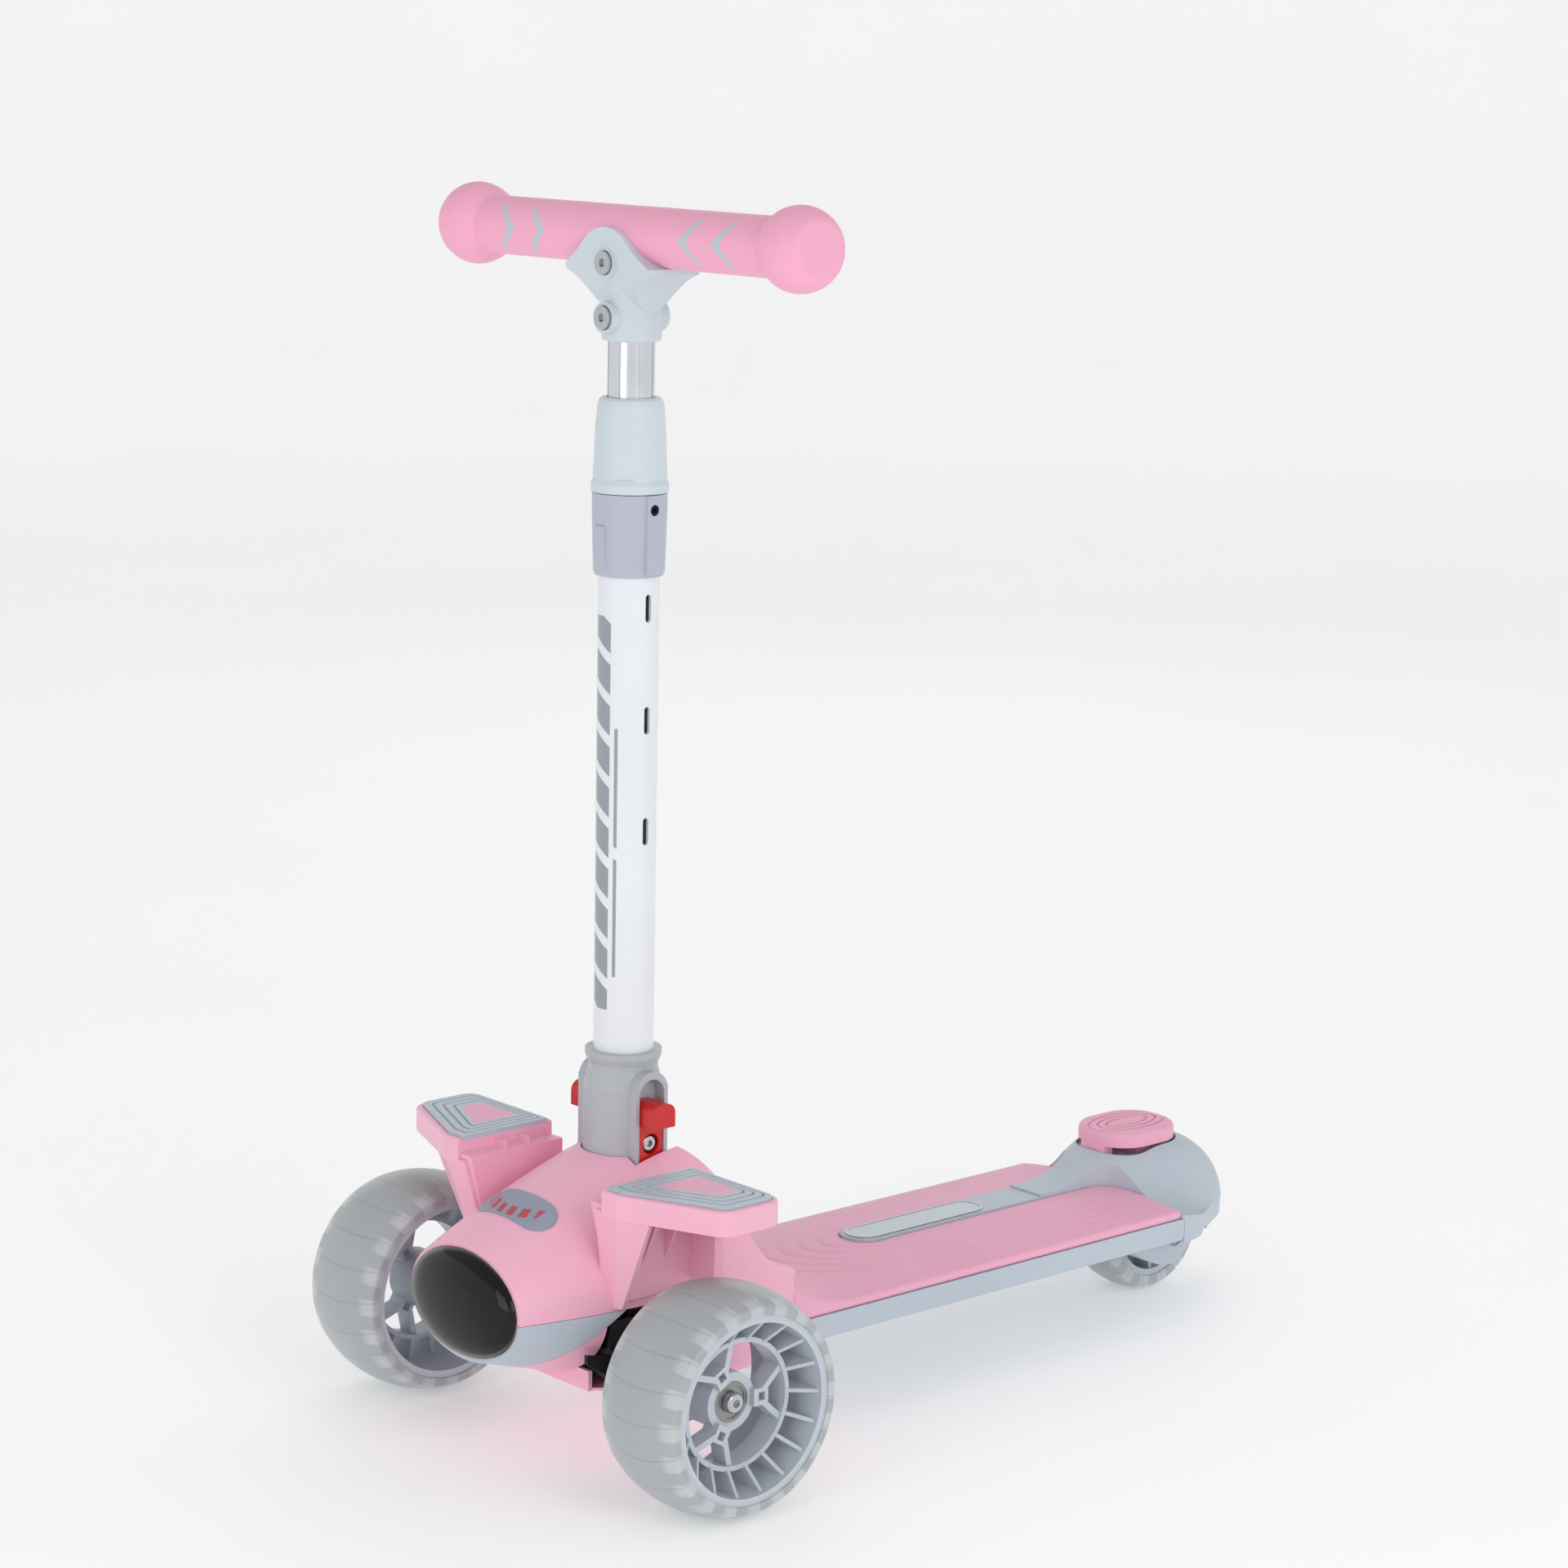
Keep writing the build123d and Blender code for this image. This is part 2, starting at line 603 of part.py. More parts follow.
def lamp_bezel():
    """Black oval frame in the mouth of the nose."""
    outer = lamp_oval(lamp_half_width - 1.5, lamp_half_height - 1.5, lamp_y, lamp_y + 8)
    return outer - lamp_oval(lamp_half_width - 5, lamp_half_height - 5, lamp_y, lamp_y + 8)


def lamp_lens():
    """Smoked bulging lens."""
    ball = Sphere(1.0)
    outer = scale(ball, by=(lamp_half_width, lens_bulge, lamp_half_height))
    inner = scale(ball, by=(lamp_half_width - lens_wall, lens_bulge - lens_wall, lamp_half_height - lens_wall))
    lens = Pos(0, lamp_y, lamp_z) * (outer - inner)
    return lens & block(-60, 60, lamp_y - 20, lamp_y, 40, 140)


def lamp_reflector():
    """Patterned reflector plate behind the lens."""
    plate = lamp_oval(lamp_half_width - 5.3, lamp_half_height - 5.3, lamp_y + 3, lamp_y + 6)
    for k in range(-5, 6):
        plate = plate - block(k * 7 - 0.5, k * 7 + 0.5, lamp_y + 3, lamp_y + 4, 50, 130)
    for k in range(-3, 4):
        plate = plate - block(-50, 50, lamp_y + 3, lamp_y + 4, lamp_z + k * 7 - 0.5, lamp_z + k * 7 + 0.5)
    return plate


def lamp_board():
    """Circuit board with its battery box, behind the reflector."""
    board = block(-24, 24, lamp_y + 8.5, lamp_y + 10.1, lamp_z - 14, lamp_z + 14)
    board = board + block(-18, 18, lamp_y + 10.1, lamp_y + 24, lamp_z - 10, lamp_z + 10)
    for x in (-15, 0, 15):
        board = board + rod_y(2.5, x, lamp_y + 6, lamp_y + 9, lamp_z)
    return board


def nose_badge():
    """Thin oval badge that follows the top of the nose."""
    skin = egg(-badge_thickness) - egg(0)
    plane = Plane(origin=(0, -27, 120), x_dir=(1, 0, 0), z_dir=(0, -0.38, 1))
    return skin & extrude(plane * SlotOverall(56, 21), 50)


def wing_pad():
    """Grey pad on the +X platform, with three grooves around its inset."""
    pad = rounded_slab(0.0, wing_top_z - 1.5, wing_top_z + 1.3)
    for share in (0.22, 0.5, 0.78):
        outer = rounded_slab(share, wing_top_z + 0.4, wing_top_z + 2)
        pad = pad - (outer - rounded_slab(share + 0.07, wing_top_z, wing_top_z + 3))
    return pad - rounded_slab(1.0, wing_top_z - 0.5, wing_top_z + 2)


def pad_outline(share):
    """Outline between the pad's rim, at 0, and its inset, at 1."""
    rim = wing_outline(0)
    inset = [(75, -2), (77, -1), (107.5, 13), (107.5, 27), (75, 27)]
    return [(a[0] + (b[0] - a[0]) * share, a[1] + (b[1] - a[1]) * share) for a, b in zip(rim, inset)]


def rounded_slab(share, z0, z1):
    """A slab on one of the pad's outlines, with its outer corners rounded."""
    slab = slab_z(pad_outline(share), z0, z1)
    upright = slab.edges().filter_by(Axis.Z).sort_by(Axis.X)
    return fillet(upright[-2:], 7 - 4 * share)


def wing_inset():
    """Pink inset in the middle of the +X pad."""
    return rounded_slab(1.0, wing_top_z - 0.5, wing_top_z + 1.3)


# ---- fold joint and stem ----
def fold_bracket():
    """Cast bracket bolted to the deck, with the lug the stem hinges on."""
    lug = rod_x(lug_radius, -lug_half_width, lug_half_width, stem_y, fold_z)
    post = block(-lug_half_width, lug_half_width, stem_y - 5.3, stem_y + 16.7, deck_bottom_z + 3, fold_z)
    base = block(-38, 38, stem_y - 5.3, 90, deck_bottom_z + 3, deck_bottom_z + 9)
    rib = slab_x([(50, deck_bottom_z + 8), (86, deck_bottom_z + 8), (54, 108)], -3, 3)
    bracket = lug + post + base + rib
    for x in (-30, 30):
        for y in (42, 80):
            bracket = bracket - rod_z(2.5, x, y, deck_bottom_z, deck_bottom_z + 12)
    return bracket - rod_x(fold_pin_radius, -lug_half_width, lug_half_width, stem_y, fold_z)


def bracket_screws():
    """Four screws that hold the fold bracket down."""
    screws = []
    for x in (-30, 30):
        for y in (42, 80):
            shaft = rod_z(2.5, x, y, deck_bottom_z - 1, deck_bottom_z + 9)
            screws.append(shaft + rod_z(5, x, y, deck_bottom_z + 9, deck_bottom_z + 12))
    return screws


def fold_pin():
    """Fold pivot, pressed in the bracket's lug."""
    return rod_x(fold_pin_radius, -pad_x + 0.5, pad_x - 0.5, stem_y, fold_z)


def pad_shape(x0, x1):
    """One flat side pad of the socket, round at both ends."""
    pad = block(x0, x1, stem_y - pad_half_width, stem_y + pad_half_width, fold_z, window_top_z - 4)
    pad = pad + rod_x(pad_half_width, x0, x1, stem_y, window_top_z - 4 - pad_half_width + 8)
    return pad + rod_x(pad_half_width, x0, x1, stem_y, fold_z)


def hinge_socket():
    """Grey socket that grips the tube, with the fold ears and the release windows."""
    neck_z = window_top_z + 3
    rim_z = window_top_z + 13
    profile = [(0, socket_bottom_z), (socket_radius, socket_bottom_z), (socket_radius, 191),
               (socket_radius - 2.6, neck_z), (socket_radius - 2.6, neck_z + 3), (socket_radius - 0.8, rim_z - 3),
               (socket_radius - 0.8, rim_z), (0, rim_z)]
    body = turned_z(profile, 0, stem_y)
    for side in (-1, 1):
        x0 = min(side * (lug_half_width + 0.5), side * pad_x)
        body = body + pad_shape(x0, x0 + pad_x - lug_half_width - 0.5)
    body = body - rod_z(tube_radius, 0, stem_y, tube_bottom_z, rim_z)
    half = lug_half_width + 0.5
    body = body - rod_x(lug_radius + 0.6, -half, half, stem_y, fold_z)
    body = body - block(-half, half, stem_y, stem_y + 30, 100, fold_z + 20.2)
    body = body - rod_x(fold_pin_radius + running, -pad_x, pad_x, stem_y, fold_z)
    slot = rod_x(lock_radius + gap, -pad_x, pad_x, stem_y, lock_z)
    slot = slot + rod_x(lock_radius + gap, -pad_x, pad_x, stem_y, lock_z + lock_travel)
    slot = slot + block(-pad_x, pad_x, stem_y - lock_radius - gap, stem_y + lock_radius + gap,
                        lock_z, lock_z + lock_travel)
    body = body - slot
    for side in (-1, 1):
        x0 = side * window_floor_x
        x1 = side * (pad_x + 1)
        cut = block(x0, x1, stem_y - window_half_width, stem_y + window_half_width,
                    socket_bottom_z - 1, window_top_z - window_half_width)
        cut = cut + rod_x(window_half_width, x0, x1, stem_y, window_top_z - window_half_width)
        body = body - cut
    return body


def release_half():
    """Red release of the +X side: plate in the window, cap to push, recess for the lock bolt's head."""
    half = window_half_width - gap
    x0 = window_floor_x + gap
    plate = block(x0, pad_x - 0.6, stem_y - half, stem_y + half, socket_bottom_z + 1, release_cap_z + 2)
    cap = block(x0, release_x, stem_y - half + 0.3, stem_y + half - 0.3, release_cap_z, release_top_z)
    top_edges = cap.edges().filter_by(Axis.X).sort_by(Axis.Z)[-2:]
    cap = fillet(top_edges, 5.5)
    body = plate + cap
    body = body - rod_x(5.5, x0 + 2.2, pad_x + 1, stem_y, lock_z)
    return body - rod_x(lock_radius, x0, release_x, stem_y, lock_z)


def lock_bolt():
    """Lock bolt that joins both release halves and rides in the socket's slot."""
    x0 = window_floor_x + gap + 2.2
    bolt = rod_x(lock_radius, -x0 - 1, x0 + 1, stem_y, lock_z)
    for side in (-1, 1):
        head = rod_x(4.5, side * x0, side * (x0 + 3.4), stem_y, lock_z)
        tip = head.edges().filter_by(GeomType.CIRCLE).sort_by(Axis.X)[-1 if side > 0 else 0]
        head = fillet(tip, 1.2)
        seat = Plane(origin=(side * (x0 + 2.0), stem_y, lock_z), z_dir=(side, 0, 0))
        head = head - extrude(seat * RegularPolygon(2.0, 6), 3)
        bolt = bolt + head
    return bolt


def outer_tube():
    """White tube with a row of height windows on its +X side."""
    tube = rod_z(tube_radius, 0, stem_y, tube_bottom_z, tube_top_z)
    tube = tube - rod_z(tube_radius - tube_wall, 0, stem_y, tube_bottom_z, tube_top_z)
    for k in range(slot_count):
        z = slot_low_z + k * slot_pitch
        half = slot_length / 2 - slot_width / 2
        slot = block(8, 20, stem_y - slot_width / 2, stem_y + slot_width / 2, z - half, z + half)
        slot = slot + rod_x(slot_width / 2, 8, 20, stem_y, z - half)
        slot = slot + rod_x(slot_width / 2, 8, 20, stem_y, z + half)
        tube = tube - slot
    return tube


def guide_bush():
    """Plastic bush in the tube's mouth that guides the sliding tube, slotted for the plug's tongue."""
    low = tube_top_z - bush_length
    bush = rod_z(tube_radius - tube_wall, 0, stem_y, low, tube_top_z)
    bush = bush - rod_z(inner_radius + running, 0, stem_y, low, tube_top_z)
    tongue_top = slot_low_z - slot_length + 26 + (slot_count - 1) * slot_pitch
    return bush - block(inner_radius - 2, tube_radius, stem_y - 3.2, stem_y + 3.2, low, tongue_top + 1)


def stem_collar():
    """Purple-grey collar clamped on the tube, with two upright ridges."""
    profile = [(tube_radius, collar_bottom_z), (17.9, collar_bottom_z), (18.6, collar_bottom_z + 2),
               (19.5, collar_top_z - 8), (19.5, collar_top_z), (tube_radius, collar_top_z)]
    collar = turned_z(profile, 0, stem_y)
    rib = block(16.8, 20.3, -4.8, 4.8, collar_bottom_z + 1.5, collar_top_z)
    collar = collar + Pos(0, stem_y, 0) * rib
    for angle in (90, 180, 270):
        ridge = slab_x([(16.8, collar_bottom_z + 1.5), (18.4, collar_bottom_z + 1.5), (20.2, collar_bottom_z + 26),
                        (16.8, collar_bottom_z + 27.5)], -3.5, 3.5)
        collar = collar + Pos(0, stem_y, 0) * Rot(0, 0, angle) * ridge
    hole = rod_x(2.2, tube_radius - 4, 24, stem_y, collar_top_z - 7.6)
    seat = rod_x(2.9, 18.6, 24, stem_y, collar_top_z - 7.6)
    return collar - hole - seat


def collar_screw():
    """Small black screw that fixes the collar."""
    z = collar_top_z - 7.6
    screw = rod_x(2.2, tube_radius, 18.6, stem_y, z) + rod_x(2.9, 18.6, 19.6, stem_y, z)
    return screw - extrude(Plane(origin=(18.6, stem_y, z), z_dir=(1, 0, 0)) * RegularPolygon(1.3, 6), 3)


def height_sleeve():
    """Sprung sleeve that is lifted to free the sliding tube."""
    shoulder = sleeve_top_z - 4
    profile = [(inner_radius + gap, sleeve_bottom_z), (20.2, sleeve_bottom_z), (20.2, sleeve_bottom_z + 4.5),
               (19.2, sleeve_bottom_z + 6.5), (18.3, sleeve_bottom_z + 31.5), (17.2, shoulder), (16.4, sleeve_top_z - 1.2),
               (15.0, sleeve_top_z), (inner_radius + gap, sleeve_top_z)]
    sleeve = turned_z(profile, 0, stem_y)
    sleeve = sleeve - rod_z(tube_radius + gap, 0, stem_y, sleeve_bottom_z, tube_top_z + 1.5)
    panel = block(-6.5, 6.5, -21, -18.3, sleeve_bottom_z + 7, sleeve_bottom_z + 32)
    return sleeve - Pos(0, stem_y, 0) * Rot(0, 0, 40) * panel


# ---- handlebar ----
def inner_tube():
    """Grooved aluminium tube that carries the handlebar."""
    z0 = slot_low_z - slot_length
    z1 = bar_height - grip_radius - rest_gap
    tube = rod_z(inner_radius, 0, stem_y, z0, z1) - rod_z(inner_radius - inner_wall, 0, stem_y, z0, z1)
    for k in range(8):
        groove = block(inner_radius - 0.5, inner_radius + 1, -0.6, 0.6, tube_top_z - 20, neck_bottom_z + 2)
        tube = tube - Pos(0, stem_y, 0) * Rot(0, 0, 22.5 + k * 45) * groove
    return tube - bolt_holes()


def bolt_holes():
    """Bores of the two bracket bolts."""
    holes = []
    for z in bracket_bolts_z:
        holes.append(rod_y(bracket_bolt_radius, 0, stem_y - 30, stem_y + 30, z))
    return holes


def tube_plug():
    """Black plug on the foot of the sliding tube; it shows in the height windows."""
    z0 = slot_low_z - slot_length
    plug = rod_z(tube_radius - tube_wall - running, 0, stem_y, z0 - 12, z0)
    plug = plug + rod_z(inner_radius - inner_wall, 0, stem_y, z0, z0 + 20)
    tongue = block(inner_radius + 0.1, tube_radius - tube_wall - running, stem_y - 2.6, stem_y + 2.6, z0 - 6, z0 + 26)
    ring = rod_z(tube_radius - tube_wall - running, 0, stem_y, z0 - 6, z0 + 26)
    return plug + (tongue & ring)


def bracket_front():
    """Front view of the bracket's saddle: flares under the bar and a round tongue up its front."""
    side = [(neck_radius, 590), (16.6, 602), (22, 611), (32.5, 617.3)]
    brow = [(33.2, 620.5), (25.5, 625.6), (15.8, 634.2)]
    lines = []
    for sign in (-1, 1):
        lines.append(Spline(*[(sign * x, z) for x, z in side]))
        lines.append(Line((sign * side[-1][0], side[-1][1]), (sign * brow[0][0], brow[0][1])))
        lines.append(Spline(*[(sign * x, z) for x, z in brow]))
    lines.append(ThreePointArc((-brow[-1][0], brow[-1][1]), (0, 640.5), (brow[-1][0], brow[-1][1])))
    lines.append(Line((-neck_radius, 590), (neck_radius, 590)))
    plane = Plane(origin=(0, stem_y + 30, 0), x_dir=(1, 0, 0), z_dir=(0, -1, 0))
    return extrude(plane * make_face(lines), 60)


def t_bracket():
    """Grey bracket: neck over the sliding tube, flared saddle under the bar, tongues up its front and back."""
    neck = rod_z(neck_radius, 0, stem_y, neck_bottom_z, bar_height - 6)
    neck = fillet(neck.edges().filter_by(GeomType.CIRCLE).sort_by(Axis.Z)[0], 1.5)
    keel = Plane(origin=(-40, stem_y, bar_height), x_dir=(0, 1, 0), z_dir=(1, 0, 0))
    keel = extrude(keel * Ellipse(saddle_radius, 38), 80)
    body = neck + (bracket_front() & keel)
    for z in bracket_bolts_z:
        body = body + rod_y(8, 0, stem_y - 18.8, stem_y + 18.8, z)
    body = body - rod_z(inner_radius, 0, stem_y, neck_bottom_z, bar_height - 3)
    body = body - rod_x(grip_radius, -60, 60, stem_y, bar_height)
    for z in bracket_bolts_z:
        for side in (-1, 1):
            y0 = stem_y + side * 17.3
            body = body - rod_y(6.3, 0, y0, y0 + side * 6, z)
    return body - bolt_holes()


def t_bracket_bolts():
    """Two through bolts with button heads at the front and round nuts at the back."""
    bolts = []
    for z in bracket_bolts_z:
        bolt = rod_y(bracket_bolt_radius, 0, stem_y - 17.3, stem_y + 17.3, z)
        for side in (-1, 1):
            y0 = stem_y + side * 17.3
            head = rod_y(6.0, 0, y0, y0 + side * 3.0, z)
            key = extrude(Plane(origin=(0, y0 + side * 1.5, z), z_dir=(0, side, 0)) * RegularPolygon(2.4, 6), 3)
            bolt = bolt + (head - key)
        bolts.append(bolt)
    return bolts


def bar_core():
    """Steel cross tube inside the grip."""
    end = bar_half_length
    core = rod_x(bar_core_radius, -end, end, stem_y, bar_height)
    core = core - rod_x(bar_core_radius - bar_core_wall, -end, end, stem_y, bar_height)
    return core - bolt_holes()


def bar_grip():
    """Pink grip over the whole bar, with a ball at each end."""
    grip = rod_x(grip_radius, -bar_half_length, bar_half_length, stem_y, bar_height)
    flat = (ball_radius ** 2 - ball_flat_radius ** 2) ** 0.5
    for side in (-1, 1):
        ball = Pos(side * bar_half_length, stem_y, bar_height) * Sphere(ball_radius)
        far = side * (bar_half_length + flat)
        keep = block(0, far, stem_y - 40, stem_y + 40, bar_height - 40, bar_height + 40)
        ball = ball & keep
        rim = ball.edges().filter_by(GeomType.CIRCLE).sort_by(Axis.X)[-1 if side > 0 else 0]
        grip = grip + fillet(rim, 5.0)
    grip = grip - rod_x(bar_core_radius, -bar_half_length, bar_half_length, stem_y, bar_height)
    for chevron in chevrons():
        grip = grip - chevron
    return grip - bolt_holes()


def chevrons():
    """Grey arrow inlays, two on each arm, front and back, pointing to the middle."""
    ring = rod_x(grip_radius, -120, 120, stem_y, bar_height)
    ring = ring - rod_x(grip_radius - chevron_depth, -120, 120, stem_y, bar_height)
    shapes = []
    for x in (52.5, 77.5):
        points = [(x, 0), (x + 13, 12), (x + 15.6, 12), (x + 6.2, 0), (x + 15.6, -12), (x + 13, -12)]
        for side in (-1, 1):
            outline = [(side * px, bar_height + pz) for px, pz in points]
            for y0 in (stem_y - 30, stem_y):
                shapes.append(ring & slab_y(outline, y0, y0 + 30))
    return shapes


# ---- deck ----
def fender_plan(grow):
    """Plan of everything that belongs to the fender: a tongue on the deck's middle that flares to the full width."""
    w = spine_half_width + grow
    front = fender_front_y - grow
    curve = [(w, 376), (w + 4.5, 396 - grow), (40, 405 - grow), (deck_half_width + 6, mat_rear_y - grow)]
    lines = [Line((-w, front), (w, front))]
    for sign in (-1, 1):
        lines.append(Line((sign * w, front), (sign * w, curve[0][1])))
        lines.append(Spline(*[(sign * x, y) for x, y in curve], tangents=[(0, 1), (sign, 0.3)]))
        lines.append(Line((sign * curve[-1][0], curve[-1][1]), (sign * curve[-1][0], 520)))
    lines.append(Line((-curve[-1][0], 520), (curve[-1][0], 520)))
    return make_face(lines)


def deck_base():
    """Grey deck tray, ribbed underneath, with a tongue under the fold bracket."""
    front = head_rear_y + rest_gap
    base = block(-deck_half_width, deck_half_width, front, mat_rear_y - rest_gap, deck_bottom_z, deck_seam_z)
    low = base.faces().sort_by(Axis.Z)[0].edges().filter_by(Axis.Y)
    base = fillet(low, 4)
    hollow = block(-deck_half_width + 5, deck_half_width - 5, front + 6, 385, deck_bottom_z - 1, deck_seam_z - deck_wall)
    pitch = (385 - front - 6) / (rib_count + 1)
    for k in range(rib_count):
        y = front + 6 + (k + 1) * pitch
        hollow = hollow - block(-70, 70, y - 1.25, y + 1.25, 0, 100)
    hollow = hollow - block(-1.25, 1.25, 0, 500, 0, 100)
    base = base - hollow
    base = base + block(-40, 40, 36, front + 8, tray_z + tray_wall + rest_gap, deck_bottom_z + 3)
    for x in (-30, 30):
        for y in (42, 80):
            base = base - rod_z(2.5, x, y, 40, 55)
    wide = fender_half_width + rest_gap
    return base - block(-wide, wide, cheek_front_y() - rest_gap, 500, 0, 100)


def cheek_front_y():
    """Where the fender's cheeks start."""
    return rear_axle_y - rear_radius - wheel_gap - 4


def crown(lower):
    """Deck top, crowned across its width, sunk by the given amount."""
    edge = deck_half_width - 0.5
    arc = ThreePointArc((-edge, 0, mat_edge_z - lower), (0, 0, mat_crown_z - lower), (edge, 0, mat_edge_z - lower))
    base = Polyline((edge, 0, mat_edge_z - lower), (edge, 0, deck_seam_z - 5), (-edge, 0, deck_seam_z - 5),
                    (-edge, 0, mat_edge_z - lower))
    face = make_face([arc, base])
    return Pos(0, head_rear_y + rest_gap, 0) * extrude(face, amount=mat_rear_y - head_rear_y, dir=(0, 1, 0))


def mat_flare():
    """The mat's front end, rising to meet the head."""
    edge = deck_half_width - 0.5
    faces = []
    for y, rise in ((head_rear_y + rest_gap, 15.0), (116.0, 7.5), (130.0, 2.6), (150.0, 0.0)):
        arc = ThreePointArc((-edge, y, mat_edge_z + rise), (0, y, mat_crown_z + rise), (edge, y, mat_edge_z + rise))
        base = Polyline((edge, y, mat_edge_z + rise), (edge, y, deck_seam_z), (-edge, y, deck_seam_z),
                        (-edge, y, mat_edge_z + rise))
        faces.append(make_face([arc, base]))
    return loft(faces)


def ridge_loop(half_x, front):
    """Plan of one contour: a long loop around the badge, with a pointed-arch front."""
    middle = badge_y - 10
    loop = Pos(0, middle) * Ellipse(half_x, middle - front)
    tail = Pos(0, (middle + 360) / 2) * Rectangle(2 * half_x, 360 - middle)
    return loop + tail + Pos(0, 360) * Ellipse(half_x, 32)


def deck_mat():
    """Pink crowned foot mat with contour grooves around the badge."""
    front = head_rear_y + rest_gap
    edge = deck_half_width - 0.5
    mat = crown(0) & block(-edge, edge, front, mat_rear_y, deck_seam_z, 100)
    mat = mat + mat_flare()
    for k in range(ridge_count):
        half_x = spine_half_width + 6 + k * ridge_step
        loop_front = spine_front_y - 6 - k * 14
        outer = Pos(0, 0, 60) * extrude(ridge_loop(half_x, loop_front), 30)
        inner = Pos(0, 0, 60) * extrude(ridge_loop(half_x - ridge_width, loop_front + ridge_width * 1.5), 30)
        mat = mat - ((outer - inner) - crown(ridge_depth))
    mat = mat - spine_strip(rest_gap, deck_seam_z + 3, 90)
    return mat - Pos(0, 0, 50) * extrude(fender_plan(rest_gap), 60)


def spine_strip(grow, z0, z1):
    """The centre strip's outline with its rounded front tip, between two heights."""
    w = spine_half_width + grow
    strip = block(-w, w, spine_front_y + spine_half_width, fender_front_y - rest_gap + grow, z0, z1)
    return strip + rod_z(w, 0, spine_front_y + spine_half_width, z0, z1)


def deck_spine():
    """Grey centre strip of the deck, with the badge's recess."""
    spine = spine_strip(0, deck_seam_z + 3, spine_top_z)
    recess = Pos(0, badge_y, spine_top_z - 1.5) * Rot(0, 0, 90) * SlotOverall(badge_length, badge_width)
    return spine - extrude(recess, 3)


def badge_rim():
    """Chrome rim around the deck badge."""
    plane = Pos(0, badge_y, spine_top_z - 1.5) * Rot(0, 0, 90)
    outer = extrude(plane * SlotOverall(badge_length, badge_width), 2.3)
    return outer - extrude(plane * SlotOverall(badge_length - 2.4, badge_width - 2.4), 2.3)


def deck_badge():
    """Light-grey oblong badge on the deck."""
    plane = Pos(0, badge_y, spine_top_z - 1.5) * Rot(0, 0, 90)
    return extrude(plane * SlotOverall(badge_length - 2.4, badge_width - 2.4), 1.9)


# ---- rear fender and brake ----
def fender_section(y, bottom, points):
    """One cross-section of the fender: flat bottom, upright sides, and a smooth hat-shaped top."""
    right = [(x, z) for x, z in points]
    left = [(-x, z) for x, z in reversed(right[:-1])]
    top = Spline(*(right + left))
    wide = right[0][0]
    sides = Polyline((-wide, right[0][1]), (-wide, bottom), (wide, bottom), (wide, right[0][1]))
    plane = Plane(origin=(0, y, 0), x_dir=(1, 0, 0), z_dir=(0, -1, 0))
    return plane * make_face([top, sides])


def fender_body():
    """Smooth body that rises from the deck to the brake pedal and rounds off behind the wheel."""
    wide = deck_half_width
    sections = [
        (fender_front_y - 4, 58, [(wide, 62), (50, 66), (37, 69), (25, 71.5), (12, 74), (0, 74.8)]),
        (370, 58, [(wide, 62), (50, 66), (37, 69.5), (25, 72.5), (12, 77.5), (0, 79.5)]),
        (390, 52, [(wide, 62.5), (50, 66), (37, 70.2), (27, 76), (16, 84), (0, 87.5)]),
        (412, 47, [(wide, 63), (50, 65), (39, 71), (31, 81), (23, 90), (0, 94)]),
        (432, 46, [(60, 59), (47, 62), (37.5, 72), (32.5, 85), (25, 93), (0, 95.5)]),
        (455, 44, [(45, 55), (39, 60), (35.5, 72), (32, 83), (24, 91), (0, 94)]),
        (472, 43, [(35, 52), (34, 60), (32, 70), (27, 79), (17, 85.5), (0, 88.5)]),
        (486, 44, [(26, 50), (25.5, 56), (23, 64), (18, 70), (10, 74), (0, 75.5)]),
        (tail_reach, 47, [(12, 50), (11.5, 52.5), (10, 55), (7.5, 57.5), (4, 59), (0, 60)]),
    ]
    return loft([fender_section(*section) for section in sections])


def fender_cheeks():
    """Side view of the cheeks that run down beside the wheel, as one slab across both."""
    front = cheek_front_y()
    low = Spline((front, 56), (front + 10, 36), (rear_axle_y - 18, 24), (rear_axle_y - 4, cheek_bottom_z),
                 (rear_axle_y + 9, 27), (rear_axle_y + 17, 42), (rear_axle_y + 26, 52))
    top_z = deck_seam_z - rest_gap
    top = Polyline((rear_axle_y + 26, 52), (rear_axle_y + 26, top_z), (front, top_z), (front, 56))
    plane = Plane(origin=(-fender_half_width, 0, 0), x_dir=(0, 1, 0), z_dir=(1, 0, 0))
    return extrude(plane * make_face([low, top]), 2 * fender_half_width)


def rear_fender():
    """Grey fender with both cheeks, the wheel's slot, and the pocket of the brake pedal."""
    solid = fender_body() & extrude(fender_plan(0), 120)
    base_place = block(-90, 90, 300, mat_rear_y, 0, deck_seam_z + rest_gap)
    base_place = base_place - block(-fender_half_width, fender_half_width, cheek_front_y(), 500, 0, 100)
    solid = (solid - base_place) + fender_cheeks()
    well = rod_x(rear_radius + wheel_gap, -slot_half_width, slot_half_width, rear_axle_y, rear_radius)
    well = well + block(-slot_half_width, slot_half_width, rear_axle_y - rear_radius - wheel_gap,
                        rear_axle_y + rear_radius + wheel_gap, 0, rear_radius)
    solid = solid - well
    pocket = Pos(0, 0, pedal_floor_z) * extrude(pedal_plan(pedal_gap), 40)
    solid = solid - pocket
    solid = solid - block(-10, 10, brake_pin_y - 5.5, brake_pin_y + 6.5, brake_pin_z - 4.5, pedal_floor_z + 1)
    solid = solid - block(-14.5, 14.5, 419, 457, 70, pedal_floor_z + 1)
    solid = solid - rod_x(brake_pin_radius, -18, 18, brake_pin_y, brake_pin_z)
    for side in (-1, 1):
        solid = solid - rod_x(8.5, side * axle_seat_x, side * 60, rear_axle_y, rear_radius)
    return solid - rod_x(axle_radius, -60, 60, rear_axle_y, rear_radius)


